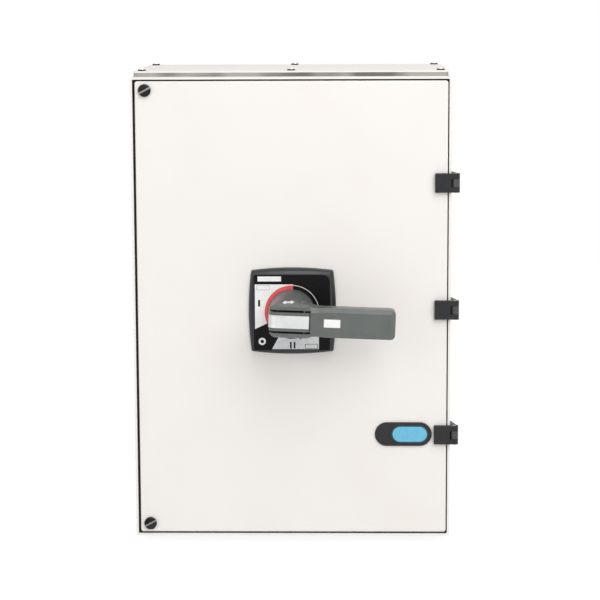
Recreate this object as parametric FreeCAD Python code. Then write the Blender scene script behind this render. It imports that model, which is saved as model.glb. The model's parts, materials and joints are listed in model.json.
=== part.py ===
import FreeCAD, Part
import math
import os

# Manual changeover switch in a wall-mounted sheet-steel enclosure, millimetres.
# +X is the hinge side, +Z is up and the door faces -Y. The origin is the centre
# of the four wall-fixing holes, on the outer face of the back wall.

V = FreeCAD.Vector
X_AXIS = V(1, 0, 0)
Y_AXIS = V(0, 1, 0)
Z_AXIS = V(0, 0, 1)
ORIGIN = V(0, 0, 0)

# Clearances
seat_clearance = 0.2
running_clearance = 0.1
seal_clearance = 0.3
screw_hole_clearance = 0.25

# How far a cutting shape runs past the face it opens, and what counts as one level
past = 1.0
same_level = 0.01

# Share of a pan head's height that is rounded off
pan_crown_share = 0.45

# Enclosure shell, folded and welded from one gauge of sheet
body_width = 400.0
body_height = 584.0
sheet = 1.5
shell_corner_radius = 2.0
lip_width = 3.0
hem_depth = 12.0
gutter_width = 28.5
gutter_setback = 20.0

# Door, a folded pan set inside the lip
door_sheet = 1.5
door_proud = 0.5
door_flange_depth = 14.0
door_corner_radius = 3.0
hinge_side_gap = 1.5
lock_side_gap = 3.0
end_gap = 2.0
door_gasket_width = 8.0
door_gasket_depth = 8.0

# Gland plates on the top and bottom walls
gland_plate_side_gap = 4.0
gland_plate_sheet = 2.0
gland_gasket_thickness = 5.0
gland_front_setback = 10.0
bottom_gland_front_setback = 30.0
gland_back_setback = 5.0
gland_opening_side_margin = 31.0
gland_opening_front_margin = 40.0
gland_opening_back_margin = 25.0
gland_corner_radius = 3.0
gland_screw_side_inset = 9.0
gland_screw_edge = 16.0
gland_screw_radius = 2.5
gland_screw_head_radius = 5.0
gland_screw_head_height = 3.0
gland_screw_tail = 6.0
rivet_nut_wall = 2.0
rivet_nut_length = 5.0

# Wall fixings and the plate inside
wall_fixing_side_inset = 40.0
wall_fixing_end_inset = 42.0
wall_fixing_radius = 5.0
stud_inset = 20.0
stud_radius = 4.0
stud_shoulder_radius = 8.0
stud_shoulder_height = 14.5
stud_thread_length = 14.0
mounting_plate_side_gap = 40.0
mounting_plate_end_gap = 62.0
mounting_plate_sheet = 2.5
mounting_plate_corner = 8.0
stud_nut_across_flats = 13.0
stud_nut_height = 6.5
earth_stud_side_inset = 40.0
earth_stud_end_inset = 70.0
earth_stud_length = 32.0
earth_stud_head_height = 5.3

# Hinges
hinge_centre_z = 0.0
hinge_spacing = 160.0
hinge_height = 24.0
hinge_knuckle_radius = 5.0
hinge_wall_clearance = 0.5
hinge_middle_height = 10.0
hinge_gap = 0.3
hinge_pin_radius = 2.0
hinge_door_leaf_reach = 26.0
hinge_body_leaf_thickness = 8.5
hinge_body_leaf_tip = 3.5
hinge_body_leaf_near = 6.0
hinge_body_leaf_length = 22.0
hinge_leaf_round = 1.2
hinge_screw_radius = 2.0
hinge_screw_head_radius = 3.5
hinge_screw_head_height = 2.4
hinge_screw_grip = 4.0
hinge_screw_spread = 7.0
hinge_door_screw_inset = 9.5
hinge_body_screw_floor_gap = 2.5

# Quarter-turn door locks
lock_side_inset = 12.4
lock_end_inset = 11.3
lock_head_radius = 7.9
lock_head_height = 3.6
lock_head_round = 1.2
lock_slot_width = 2.2
lock_slot_depth = 1.8
lock_slot_angle = 28.0
lock_shank_radius = 4.0
lock_bush_wall = 1.1
lock_bush_flange_radius = 6.5
lock_bush_flange_height = 1.5
lock_tongue_length = 15.0
lock_tongue_width = 4.0
lock_tongue_thickness = 3.0
lock_floor_clearance = 2.5
lock_swing_clearance = 1.7

# Badge on the door
badge_hinge_side_inset = 54.5
badge_bottom_inset = 127.7
badge_width = 72.0
badge_height = 30.5
badge_thickness = 2.4
badge_rim = 1.0
badge_panel_width = 43.5
badge_panel_height = 19.4
badge_panel_shift = 8.2
badge_panel_thickness = 0.9
badge_panel_sink = 0.5

# Escutcheon, the moulded frame behind the handle
handle_axis_z = -2.5
escutcheon_width = 110.0
escutcheon_height = 110.0
escutcheon_shift = 1.0
escutcheon_lift = 1.6
escutcheon_bow = 3.4
escutcheon_depth = 7.3
escutcheon_draft = 0.8
escutcheon_corner_radius = 2.4
escutcheon_edge_round = 1.0
escutcheon_wall = 3.0
escutcheon_floor = 3.0
escutcheon_hollow_draft = 0.2
flange_depth = 4.2
flange_width = 3.2
flange_step_bow = 1.8
platform_margin = 0.5
platform_bow = 0.8
dial_margin = 7.3
dial_shift = 0.5
dial_corner_radius = 9.0
dial_small_corner_radius = 2.2
dial_recess = 0.9
dial_thickness = 0.6
dial_hole_radius = 24.0
bearing_tube_wall = 6.4
bearing_tube_length = 12.0
door_handle_hole_clearance = 0.5
escutcheon_boss_radius = 4.5
escutcheon_screw_inset = 16.0
escutcheon_screw_radius = 2.0
escutcheon_screw_head_radius = 4.0
escutcheon_screw_head_height = 2.6
escutcheon_screw_grip = 5.0

# Handle moulding
handle_turn_at_rest = -2.2
handle_front = 83.0
hub_foot_gap = 0.9
hub_foot_radius = 29.6
hub_side_flat = 1.0
hub_waist_flat = 6.0
hub_waist_height = 42.0
hub_waist_length = 27.2
hub_waist_half_width = 25.2
hub_shoulder_drop = 7.0
hub_shoulder_half_width = 20.6
hub_shoulder_corner = 9.0
hub_top_left = 25.8
hub_top_right = 29.0
hub_ridge_half_width = 18.4
hub_ridge_corner = 7.0
hub_ridge_end_inset = 5.0
grip_reach = 129.0
grip_half_width = 18.4
grip_root_back_half_width = 26.0
grip_root_front_half_width = 20.8
grip_root_x = 12.0
grip_blend_x = 42.0
grip_flare_sag = 2.1
grip_thickness = 27.0
grip_end_radius = 6.0
grip_bevel = 5.0
grip_back_round = 3.0
grip_core_start = 50.0
grip_core_wall = 4.2
grip_core_depth = 17.0
grip_core_corner = 3.0
grip_rib_count = 3
grip_rib_thickness = 2.4
hub_core_depth = 24.0
hub_core_wall = 4.5
hub_boss_radius = 15.0
washer_inner_radius = 21.5
washer_outer_radius = 28.6
washer_thickness = 0.5

# Padlock lever in the hub's slot
lever_half_width = 11.7
lever_side_gap = 2.7
lever_floor_gap = 6.0
lever_end_gap = 0.25
lever_proud = 1.0
lever_thickness = 3.6
lever_side_wall = 3.0
lever_side_depth = 15.0
lever_pin_x = 17.6
lever_pin_depth = 3.6
lever_pin_radius = 2.0
lever_pin_cover = 1.0
lever_nose_x = 25.8
lever_nose_radius = 9.0
lever_nose_drop = 17.0
lever_face_side_margin = 3.9
lever_face_thickness = 0.8
lever_face_margin = 5.6
lever_hole_x = -14.0
lever_hole_depth = 9.5
lever_hole_radius = 4.0

# Blank tag on the grip
tag_centre_x = 51.5
tag_width = 20.0
tag_height = 10.0
tag_thickness = 0.3

# Coupling between the handle and the switch shaft
coupling_radius = 14.0
coupling_inner_reach = 14.2
coupling_spigot_radius = 9.0
coupling_spigot_height = 36.0
socket_depth = 20.0
socket_clearance = 0.8
retaining_ring_wall = 3.5
retaining_ring_thickness = 1.4
retaining_ring_mouth = 6.0
retaining_groove_depth = 1.5
handle_screw_radius = 2.5
handle_screw_head_radius = 4.6
handle_screw_head_height = 2.6
handle_screw_length = 26.0

# Rotary switch: four stacked pole decks on one square shaft
pole_count = 4
deck_width = 150.0
deck_pitch = 34.0
deck_corner = 18.0
deck_floor = 4.0
deck_chamber_wall = 23.0
base_plate_thickness = 4.0
base_plate_ear = 25.0
base_plate_half_height = 60.0
base_plate_corner = 6.0
base_screw_side_inset = 10.0
base_screw_end_inset = 15.0
base_screw_radius = 3.0
base_screw_head_radius = 5.5
base_screw_head_height = 4.0
base_screw_tail = 5.0
drive_housing_depth = 34.0
drive_housing_step = 6.0
drive_wall = 5.0
drive_inner_corner = 9.0
drive_cover_thickness = 5.0
drive_cover_round = 1.6
drive_boss_radius = 20.0
drive_boss_height = 7.0
shaft_free_length = 52.5
tie_bolt_inset = 19.0
tie_bolt_radius = 3.0
tie_bolt_head_flats = 10.0
tie_bolt_head_height = 4.0
shaft_square = 12.0
shaft_edge = 1.0
shaft_tip_taper = 3.0
shaft_tip_square = 8.4
shaft_front_gap = 1.0
shaft_end_gap = 0.5
shaft_journal_radius = 5.0
shaft_bore_clearance = 1.0
rotor_radius = 21.0
blade_tip_gap = 5.0
blade_width = 20.0
blade_thickness = 4.0
blade_tip_radius = 6.0
contact_thickness = 12.6
contact_arm_width = 20.0
contact_engagement = 13.0
contact_seat_depth = 7.0
jaw_gap = 4.6
jaw_sweep_gap = 1.5
terminal_width = 20.0
terminal_thickness = 6.0
terminal_side_inset = 34.0
terminal_length = 33.0
source_bar_overlap = 6.0
terminal_hole_inset = 12.0
terminal_bolt_radius = 4.0
terminal_bolt_length = 22.0
terminal_bolt_flats = 13.0
terminal_bolt_head_height = 5.3
terminal_nut_height = 6.5
load_arm_bolt_gap = 4.2
load_link_inset = 22.5
load_link_width = 16.0
load_link_bolt_gap = 5.0
barrier_thickness = 3.0
barrier_side_margin = 12.0
barrier_end_margin = 6.0


# Levels worked out from the sizes above

half_width = body_width / 2
half_height = body_height / 2

mounting_plate_back_y = -sheet - stud_shoulder_height
mounting_plate_front_y = mounting_plate_back_y - mounting_plate_sheet
deck_start_y = mounting_plate_front_y - base_plate_thickness
drive_start_y = deck_start_y - pole_count * deck_pitch
drive_cover_y = drive_start_y - drive_housing_depth
drive_front_y = drive_cover_y - drive_cover_thickness

lip_y = drive_front_y - shaft_free_length
door_face_y = lip_y - door_proud
door_inner_y = door_face_y + door_sheet
gutter_floor_y = lip_y + gutter_setback
gasket_back_y = door_inner_y + door_gasket_depth
seal_tip_y = gasket_back_y + seal_clearance

door_left = -half_width + lip_width + lock_side_gap
door_right = half_width - lip_width - hinge_side_gap
door_half_height = half_height - lip_width - end_gap

hinge_pin_x = half_width + hinge_wall_clearance + hinge_knuckle_radius
hinge_leaf_front_y = door_face_y - hinge_wall_clearance - hinge_knuckle_radius
hinge_pin_y = hinge_leaf_front_y + hinge_knuckle_radius
hinge_places = [hinge_centre_z + hinge_spacing * step for step in (1, 0, -1)]

gland_plate_half_width = half_width - gland_plate_side_gap
gland_opening_half_width = gland_plate_half_width - gland_opening_side_margin
gland_front_y = lip_y + gland_front_setback
bottom_gland_front_y = lip_y + bottom_gland_front_setback
gland_screw_x = gland_plate_half_width - gland_screw_side_inset

badge_centre = V(door_right - badge_hinge_side_inset, 0, badge_bottom_inset - door_half_height)

wall_fixing_x = half_width - wall_fixing_side_inset
wall_fixing_z = half_height - wall_fixing_end_inset
mounting_plate_half_width = half_width - mounting_plate_side_gap
mounting_plate_half_height = half_height - mounting_plate_end_gap
stud_x = mounting_plate_half_width - stud_inset
stud_z = mounting_plate_half_height - stud_inset
earth_stud_x = earth_stud_side_inset - mounting_plate_half_width
earth_stud_z = earth_stud_end_inset - mounting_plate_half_height

deck_half_width = deck_width / 2
chamber_radius = deck_half_width - deck_chamber_wall
base_plate_half_width = deck_half_width + base_plate_ear
base_screw_x = base_plate_half_width - base_screw_side_inset
base_screw_z = base_plate_half_height - base_screw_end_inset
drive_housing_width = deck_width - 2 * drive_housing_step
tie_bolt_offset = deck_half_width - tie_bolt_inset
blade_half_length = chamber_radius - blade_tip_gap
contact_inner_radius = blade_half_length - contact_engagement
contact_outer_radius = chamber_radius + contact_seat_depth
jaw_sweep_radius = blade_half_length + jaw_sweep_gap
terminal_x = deck_half_width - terminal_side_inset
terminal_reach = deck_half_width + terminal_length
load_arm_outer_radius = tie_bolt_offset * math.sqrt(2) - tie_bolt_radius - load_arm_bolt_gap
load_link_x = deck_half_width - load_link_inset
load_link_half_height = tie_bolt_offset - tie_bolt_radius - load_link_bolt_gap
barrier_half_width = terminal_width / 2 + barrier_side_margin
barrier_reach = terminal_reach + barrier_end_margin

bearing_tube_radius = coupling_radius + running_clearance + bearing_tube_wall
escutcheon_screw_x = escutcheon_width / 2 - escutcheon_screw_inset
escutcheon_screw_z = escutcheon_height / 2 - escutcheon_screw_inset
dial_seat = escutcheon_depth - dial_recess
dial_face = dial_seat + dial_thickness
hub_foot = dial_face + hub_foot_gap
grip_back = handle_front - grip_thickness
lever_end_radius = lever_pin_depth + lever_proud
lever_end_reach = math.hypot(lever_face_margin, lever_end_radius)
lever_face_sweep = math.hypot(lever_face_margin, lever_end_radius + lever_face_thickness)
lever_slot_half_width = lever_half_width + lever_side_gap
lever_slot_depth = lever_nose_drop - lever_proud + lever_floor_gap
lever_face_half_width = lever_half_width - lever_face_side_margin


# Small shape helpers


def box(x0, x1, y0, y1, z0, z1):
    """A block between two corners."""
    return Part.makeBox(x1 - x0, y1 - y0, z1 - z0, V(x0, y0, z0))


def rod(radius, start, end):
    """A round bar from one point to another."""
    path = end - start
    return Part.makeCylinder(radius, path.Length, start, path)


def tube(outer, inner, start, end):
    """A round bar with a round hole along it."""
    return rod(outer, start, end).cut(rod(inner, start, end))


def fused(shapes):
    """One solid made of several that meet."""
    whole = shapes[0]
    for shape in shapes[1:]:
        whole = whole.fuse(shape)
    return whole.removeSplitter()


def cut_all(shape, tools):
    """The shape less every tool."""
    for tool in tools:
        shape = shape.cut(tool)
    return shape


def prism(points, direction):
    """A straight extrusion of a closed outline."""
    wire = Part.makePolygon(points + [points[0]])
    return Part.Face(wire).extrude(direction)


def edges_along(shape, axis, test=None):
    """The straight edges that run along an axis and pass the test."""
    chosen = []
    for edge in shape.Edges:
        if not isinstance(edge.Curve, Part.Line):
            continue
        if abs(edge.tangentAt(edge.FirstParameter).dot(axis)) < 0.999:
            continue
        if test is None or test(edge.CenterOfMass):
            chosen.append(edge)
    return chosen


def edges_at(shape, test):
    """The edges whose centre passes the test."""
    return [edge for edge in shape.Edges if test(edge.CenterOfMass)]


def rounded_block(x0, x1, y0, y1, z0, z1, radius, axis=Y_AXIS):
    """A block whose edges along one axis are rounded."""
    block = box(x0, x1, y0, y1, z0, z1)
    return block.makeFillet(radius, edges_along(block, axis))


def hexagon(across_flats, start, end):
    """A hexagonal bar along Y."""
    reach = across_flats / math.sqrt(3)
    corners = []
    for step in range(6):
        angle = math.radians(60 * step)
        corners.append(V(start.x + reach * math.cos(angle), start.y, start.z + reach * math.sin(angle)))
    return prism(corners, end - start)


def hex_bolt(across_flats, head_height, radius, length, seat, direction):
    """A hexagon bolt along Y whose head lies on its seat, shank along the direction."""
    head = hexagon(across_flats, seat - direction * head_height, seat)
    return head.fuse(rod(radius, seat, seat + direction * length)).removeSplitter()


def hex_nut(across_flats, height, radius, seat, direction):
    """A hexagon nut along Y, lying on its seat."""
    end = seat + direction * height
    return hexagon(across_flats, seat, end).cut(rod(radius + running_clearance, seat, end))


def pan_screw(head_radius, head_height, radius, length, seat, direction):
    """A pan-head screw whose head lies on its seat, shank along the direction."""
    head = rod(head_radius, seat - direction * head_height, seat)
    crown = edges_at(head, lambda c: (c - seat).dot(direction) < same_level - head_height)
    head = head.makeFillet(head_height * pan_crown_share, crown)
    return head.fuse(rod(radius, seat, seat + direction * length)).removeSplitter()


def group(shapes):
    """Separate solids that share one node."""
    solids = []
    for shape in shapes:
        solids.extend(shape.Solids)
    return Part.makeCompound(solids)


def mirrored_in_z(shape):
    """The same shape below the middle of the enclosure."""
    return shape.mirror(ORIGIN, Z_AXIS)


def on_door(shape):
    """Place a shape drawn on the handle axis: x right, y up, z out of the door face."""
    placed = shape.copy()
    placed.rotate(ORIGIN, X_AXIS, 90)
    placed.translate(V(0, door_face_y, handle_axis_z))
    return placed


def ring_frame(inset, width, y0, y1):
    """A rectangular frame that follows the enclosure's outline at an inset."""
    outer = box(-half_width + inset, half_width - inset, y0, y1, -half_height + inset, half_height - inset)
    reach = inset + width
    inner = box(-half_width + reach, half_width - reach, y0, y1, -half_height + reach, half_height - reach)
    return outer.cut(inner)


# Enclosure


def gland_outline(front, height0, height1):
    """A gland plate's footprint from its front edge, between two heights above the middle."""
    return rounded_block(
        -gland_plate_half_width,
        gland_plate_half_width,
        front,
        -gland_back_setback,
        height0,
        height1,
        gland_corner_radius,
        Z_AXIS,
    )


def gland_opening(front, height0, height1):
    """A cable opening's footprint behind its plate's front edge, between two heights."""
    return rounded_block(
        -gland_opening_half_width,
        gland_opening_half_width,
        front + gland_opening_front_margin,
        -gland_back_setback - gland_opening_back_margin,
        height0,
        height1,
        gland_corner_radius,
        Z_AXIS,
    )


def gland_screw_places(front):
    """The six screw positions of a gland plate."""
    rows = (front + gland_screw_edge, -gland_back_setback - gland_screw_edge)
    return [V(x, y, 0) for y in rows for x in (-gland_screw_x, 0, gland_screw_x)]


def gland_screw_holes(front, height0, height1):
    """Clearance holes at the six screws of a gland plate."""
    radius = gland_screw_radius + screw_hole_clearance
    return [rod(radius, p + V(0, 0, height0), p + V(0, 0, height1)) for p in gland_screw_places(front)]


def lock_places():
    """The two lock positions on the door."""
    x = door_left + lock_side_inset
    z = door_half_height - lock_end_inset
    return [V(x, 0, z), V(x, 0, -z)]


def lock_slot(place):
    """The opening in the gutter floor that the lock's tongue passes through."""
    reach = lock_tongue_length / 2 + lock_swing_clearance
    width = lock_tongue_width / 2 + lock_swing_clearance
    y0 = gutter_floor_y - past
    y1 = gutter_floor_y + sheet + past
    slot = box(place.x - width, place.x + width, y0, y1, place.z - reach, place.z + reach)
    radius = lock_shank_radius + lock_swing_clearance
    hole = rod(radius, V(place.x, y0, place.z), V(place.x, y1, place.z))
    return slot.fuse(hole)


def body_leaf_screw_places():
    """Where the screws of the side leaves sit, on the side wall's inner face."""
    y = gutter_floor_y + sheet + hinge_body_screw_floor_gap + hinge_screw_head_radius
    places = []
    for centre in hinge_places:
        for side in (-1, 1):
            places.append(V(half_width - sheet, y, centre + side * hinge_screw_spread))
    return places


def make_enclosure_shell():
    """The welded shell: walls, hemmed lip, gutter with its sealing edge, and studs."""
    outer = box(-half_width, half_width, lip_y, 0, -half_height, half_height)
    outer = outer.makeFillet(shell_corner_radius, edges_along(outer, Y_AXIS))
    inner = box(
        -half_width + sheet, half_width - sheet, lip_y, -sheet, -half_height + sheet, half_height - sheet
    )
    walls = outer.cut(inner)
    hem = ring_frame(sheet, lip_width - sheet, lip_y, lip_y + hem_depth)
    floor_frame = ring_frame(sheet, gutter_width, gutter_floor_y, gutter_floor_y + sheet)
    sealing_edge = ring_frame(gutter_width, sheet, seal_tip_y, gutter_floor_y)
    studs = []
    for x in (-stud_x, stud_x):
        for z in (-stud_z, stud_z):
            foot = V(x, -sheet, z)
            shoulder = V(x, mounting_plate_back_y, z)
            studs.append(rod(stud_shoulder_radius, foot, shoulder))
            studs.append(rod(stud_radius, shoulder, shoulder - Y_AXIS * stud_thread_length))
    shell = fused([walls, hem, floor_frame, sealing_edge] + studs)

    wall_top = half_height - sheet
    wall_outside = half_height + past
    openings = [gland_opening(gland_front_y, wall_top - past, wall_outside)]
    openings += gland_screw_holes(gland_front_y, wall_top - past, wall_outside)
    below = [gland_opening(bottom_gland_front_y, wall_top - past, wall_outside)]
    below += gland_screw_holes(bottom_gland_front_y, wall_top - past, wall_outside)
    openings += [mirrored_in_z(tool) for tool in below]
    for x in (-wall_fixing_x, wall_fixing_x):
        for z in (-wall_fixing_z, wall_fixing_z):
            openings.append(rod(wall_fixing_radius, V(x, past, z), V(x, -sheet - past, z)))
    for place in body_leaf_screw_places():
        bore = hinge_screw_radius + screw_hole_clearance
        openings.append(rod(bore, place - X_AXIS * past, place + X_AXIS * (sheet + past)))
    openings += [lock_slot(place) for place in lock_places()]
    return cut_all(shell, openings)


def make_gland_gasket(front):
    """The grey foam frame between a gland plate and its wall."""
    z0 = half_height
    z1 = half_height + gland_gasket_thickness
    gasket = gland_outline(front, z0, z1).cut(gland_opening(front, z0, z1))
    return cut_all(gasket, gland_screw_holes(front, z0, z1))


def make_gland_plate(front):
    """The blank plate over a cable opening."""
    z0 = half_height + gland_gasket_thickness
    z1 = z0 + gland_plate_sheet
    return cut_all(gland_outline(front, z0, z1), gland_screw_holes(front, z0, z1))


def make_gland_screws(front):
    """Six pan-head screws through a gland plate."""
    seat_z = half_height + gland_gasket_thickness + gland_plate_sheet
    length = seat_z - half_height + sheet + gland_screw_tail
    screws = []
    for place in gland_screw_places(front):
        seat = place + V(0, 0, seat_z)
        screws.append(
            pan_screw(
                gland_screw_head_radius, gland_screw_head_height, gland_screw_radius, length, seat, -Z_AXIS
            )
        )
    return group(screws)


def make_gland_rivet_nuts(front):
    """Six threaded inserts clinched into the wall under a gland plate."""
    nuts = []
    outer = gland_screw_radius + rivet_nut_wall
    top = half_height - sheet
    for place in gland_screw_places(front):
        start = place + V(0, 0, top)
        nuts.append(tube(outer, gland_screw_radius, start, start - Z_AXIS * rivet_nut_length))
    return group(nuts)


def base_screw_places():
    """The four screws that hold the switch to the mounting plate."""
    places = []
    for x in (-base_screw_x, base_screw_x):
        for z in (-base_screw_z, base_screw_z):
            places.append(V(x, deck_start_y, handle_axis_z + z))
    return places


def make_mounting_plate():
    """The plate on the four studs, with the holes of what is fixed to it."""
    plate = rounded_block(
        -mounting_plate_half_width,
        mounting_plate_half_width,
        mounting_plate_front_y,
        mounting_plate_back_y,
        -mounting_plate_half_height,
        mounting_plate_half_height,
        mounting_plate_corner,
    )
    holes = []
    for x in (-stud_x, stud_x):
        for z in (-stud_z, stud_z):
            holes.append((V(x, 0, z), stud_radius))
    holes.append((V(earth_stud_x, 0, earth_stud_z), stud_radius))
    for place in base_screw_places():
        holes.append((V(place.x, 0, place.z), base_screw_radius))
    for centre, radius in holes:
        start = centre + Y_AXIS * (mounting_plate_back_y + past)
        end = centre + Y_AXIS * (mounting_plate_front_y - past)
        plate = plate.cut(rod(radius + screw_hole_clearance, start, end))
    return plate


def make_stud_nuts():
    """Four nuts that clamp the mounting plate."""
    nuts = []
    for x in (-stud_x, stud_x):
        for z in (-stud_z, stud_z):
            seat = V(x, mounting_plate_front_y, z)
            nuts.append(hex_nut(stud_nut_across_flats, stud_nut_height, stud_radius, seat, -Y_AXIS))
    return group(nuts)


def make_earth_stud():
    """The brass earthing bolt through the mounting plate."""
    seat = V(earth_stud_x, mounting_plate_back_y, earth_stud_z)
    return hex_bolt(
        stud_nut_across_flats, earth_stud_head_height, stud_radius, earth_stud_length, seat, -Y_AXIS
    )


def make_earth_nuts():
    """Two nuts on the earthing bolt, one to clamp it and one for the conductor."""
    first = V(earth_stud_x, mounting_plate_front_y, earth_stud_z)
    second = first - Y_AXIS * (stud_nut_height * 2)
    nuts = []
    for seat in (first, second):
        nuts.append(hex_nut(stud_nut_across_flats, stud_nut_height, stud_radius, seat, -Y_AXIS))
    return group(nuts)


# Door


def door_leaf_screw_places():
    """Where the screws of the door leaves sit, on the door's inner face."""
    x = door_right - hinge_door_screw_inset
    places = []
    for centre in hinge_places:
        for side in (-1, 1):
            places.append(V(x, door_inner_y, centre + side * hinge_screw_spread))
    return places


def escutcheon_screw_places():
    """The escutcheon's fixing points, in the handle's own axes."""
    return [
        V(x, z + escutcheon_lift / 2, 0)
        for x in (-escutcheon_screw_x, escutcheon_screw_x)
        for z in (-escutcheon_screw_z, escutcheon_screw_z)
    ]


def make_door():
    """The folded door pan with its holes."""
    top = door_half_height
    pan = box(door_left, door_right, door_face_y, door_face_y + door_flange_depth, -top, top)
    pan = pan.makeFillet(door_corner_radius, edges_along(pan, Y_AXIS))
    pan = pan.makeFillet(door_sheet, edges_at(pan, lambda c: c.y < door_face_y + same_level))
    hollow = rounded_block(
        door_left + door_sheet,
        door_right - door_sheet,
        door_inner_y,
        door_face_y + door_flange_depth,
        -top + door_sheet,
        top - door_sheet,
        door_corner_radius - door_sheet,
    )
    pan = pan.cut(hollow)
    front = door_face_y - past
    back = door_inner_y + past
    handle_hole = bearing_tube_radius + door_handle_hole_clearance
    holes = [rod(handle_hole, V(0, front, handle_axis_z), V(0, back, handle_axis_z))]
    for place in lock_places():
        radius = lock_shank_radius + running_clearance + lock_bush_wall
        holes.append(rod(radius, V(place.x, front, place.z), V(place.x, back, place.z)))
    for place in door_leaf_screw_places():
        radius = hinge_screw_radius + screw_hole_clearance
        holes.append(rod(radius, V(place.x, front, place.z), V(place.x, back, place.z)))
    for place in escutcheon_screw_places():
        radius = escutcheon_screw_radius + screw_hole_clearance
        z = place.y + handle_axis_z
        holes.append(rod(radius, V(place.x, front, z), V(place.x, back, z)))
    return cut_all(pan, holes)


def make_door_gasket():
    """The foam seal glued round the door's inner face."""
    inset = gutter_width + sheet / 2 - door_gasket_width / 2
    return ring_frame(inset, door_gasket_width, door_inner_y, gasket_back_y)


def make_lock_screw(place):
    """A slotted quarter-turn screw with its tongue in the unlocked position."""
    head_back = V(place.x, door_face_y, place.z)
    head_front = head_back - Y_AXIS * lock_head_height
    head = rod(lock_head_radius, head_back, head_front)
    head = head.makeFillet(lock_head_round, edges_at(head, lambda c: c.y < head_front.y + same_level))
    slot_front = head_front.y - past
    slot = box(
        place.x - lock_head_radius - past,
        place.x + lock_head_radius + past,
        slot_front,
        head_front.y + lock_slot_depth,
        place.z - lock_slot_width / 2,
        place.z + lock_slot_width / 2,
    )
    slot.rotate(head_back, -Y_AXIS, lock_slot_angle)
    tongue_front = gutter_floor_y + sheet + lock_floor_clearance
    tongue_back = tongue_front + lock_tongue_thickness
    shank = rod(lock_shank_radius, head_back, V(place.x, tongue_back, place.z))
    tongue = box(
        place.x - lock_tongue_width / 2,
        place.x + lock_tongue_width / 2,
        tongue_front,
        tongue_back,
        place.z - lock_tongue_length / 2,
        place.z + lock_tongue_length / 2,
    )
    return fused([head.cut(slot), shank, tongue])


def make_lock_bushes():
    """Nylon bushes that hold the two lock screws in the door."""
    bushes = []
    bore = lock_shank_radius + running_clearance
    for place in lock_places():
        front = V(place.x, door_face_y, place.z)
        seat = V(place.x, door_inner_y, place.z)
        end = seat + Y_AXIS * lock_bush_flange_height
        sleeve = tube(bore + lock_bush_wall, bore, front, seat)
        flange = tube(lock_bush_flange_radius, bore, seat, end)
        bushes.append(sleeve.fuse(flange).removeSplitter())
    return group(bushes)


def stadium(width, height, y0, y1):
    """A round-ended plate on the door, at the badge's place."""
    radius = height / 2
    run = width / 2 - radius
    sides = [
        Part.LineSegment(V(-run, y0, radius), V(run, y0, radius)),
        Part.Arc(V(run, y0, radius), V(run + radius, y0, 0), V(run, y0, -radius)),
        Part.LineSegment(V(run, y0, -radius), V(-run, y0, -radius)),
        Part.Arc(V(-run, y0, -radius), V(-run - radius, y0, 0), V(-run, y0, radius)),
    ]
    outline = Part.Wire([side.toShape() for side in sides])
    block = Part.Face(outline).extrude(Y_AXIS * (y1 - y0))
    block.translate(badge_centre)
    return block


def badge_panel_outline(y0, y1, growth):
    """The round-ended field on the badge, towards its hinge end."""
    panel = stadium(badge_panel_width + growth, badge_panel_height + growth, y0, y1)
    panel.translate(V(badge_panel_shift, 0, 0))
    return panel


def make_badge():
    """The dark moulded badge with the seat of its coloured field."""
    front = door_face_y - badge_thickness
    badge = stadium(badge_width, badge_height, front, door_face_y)
    badge = badge.makeFillet(badge_rim, edges_at(badge, lambda c: c.y < front + same_level))
    return badge.cut(badge_panel_outline(front - past, front + badge_panel_sink, seat_clearance))


def make_badge_panel():
    """The coloured field set in the badge."""
    seat = door_face_y - badge_thickness + badge_panel_sink
    return badge_panel_outline(seat - badge_panel_thickness, seat, 0)


# Hinges


def make_hinge_door_leaf(centre):
    """The leaf on the door face, with two ears round the pin."""
    pin = V(hinge_pin_x, hinge_pin_y, centre)
    half = hinge_height / 2
    left = hinge_pin_x - hinge_door_leaf_reach
    notch_edge = half_width - hinge_gap
    plate = box(left, hinge_pin_x, hinge_leaf_front_y, door_face_y, centre - half, centre + half)

    def on_front_or_left(c):
        return c.y < hinge_leaf_front_y + same_level or c.x < left + same_level

    plate = plate.makeFillet(hinge_leaf_round, edges_at(plate, on_front_or_left))
    barrel = rod(hinge_knuckle_radius, pin - Z_AXIS * half, pin + Z_AXIS * half)
    leaf = plate.fuse(barrel)
    gap = hinge_middle_height / 2 + hinge_gap
    reach = hinge_knuckle_radius + past
    notch = box(
        notch_edge, hinge_pin_x + reach, hinge_pin_y - reach, hinge_pin_y + reach, centre - gap, centre + gap
    )
    bore = rod(hinge_pin_radius + running_clearance, pin - Z_AXIS * half, pin + Z_AXIS * half)
    leaf = leaf.cut(notch).cut(bore)
    for side in (-1, 1):
        seat = V(door_right - hinge_door_screw_inset, door_face_y, centre + side * hinge_screw_spread)
        leaf = leaf.cut(rod(hinge_screw_radius, seat, seat - Y_AXIS * hinge_screw_grip))
    return leaf.removeSplitter()


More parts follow.
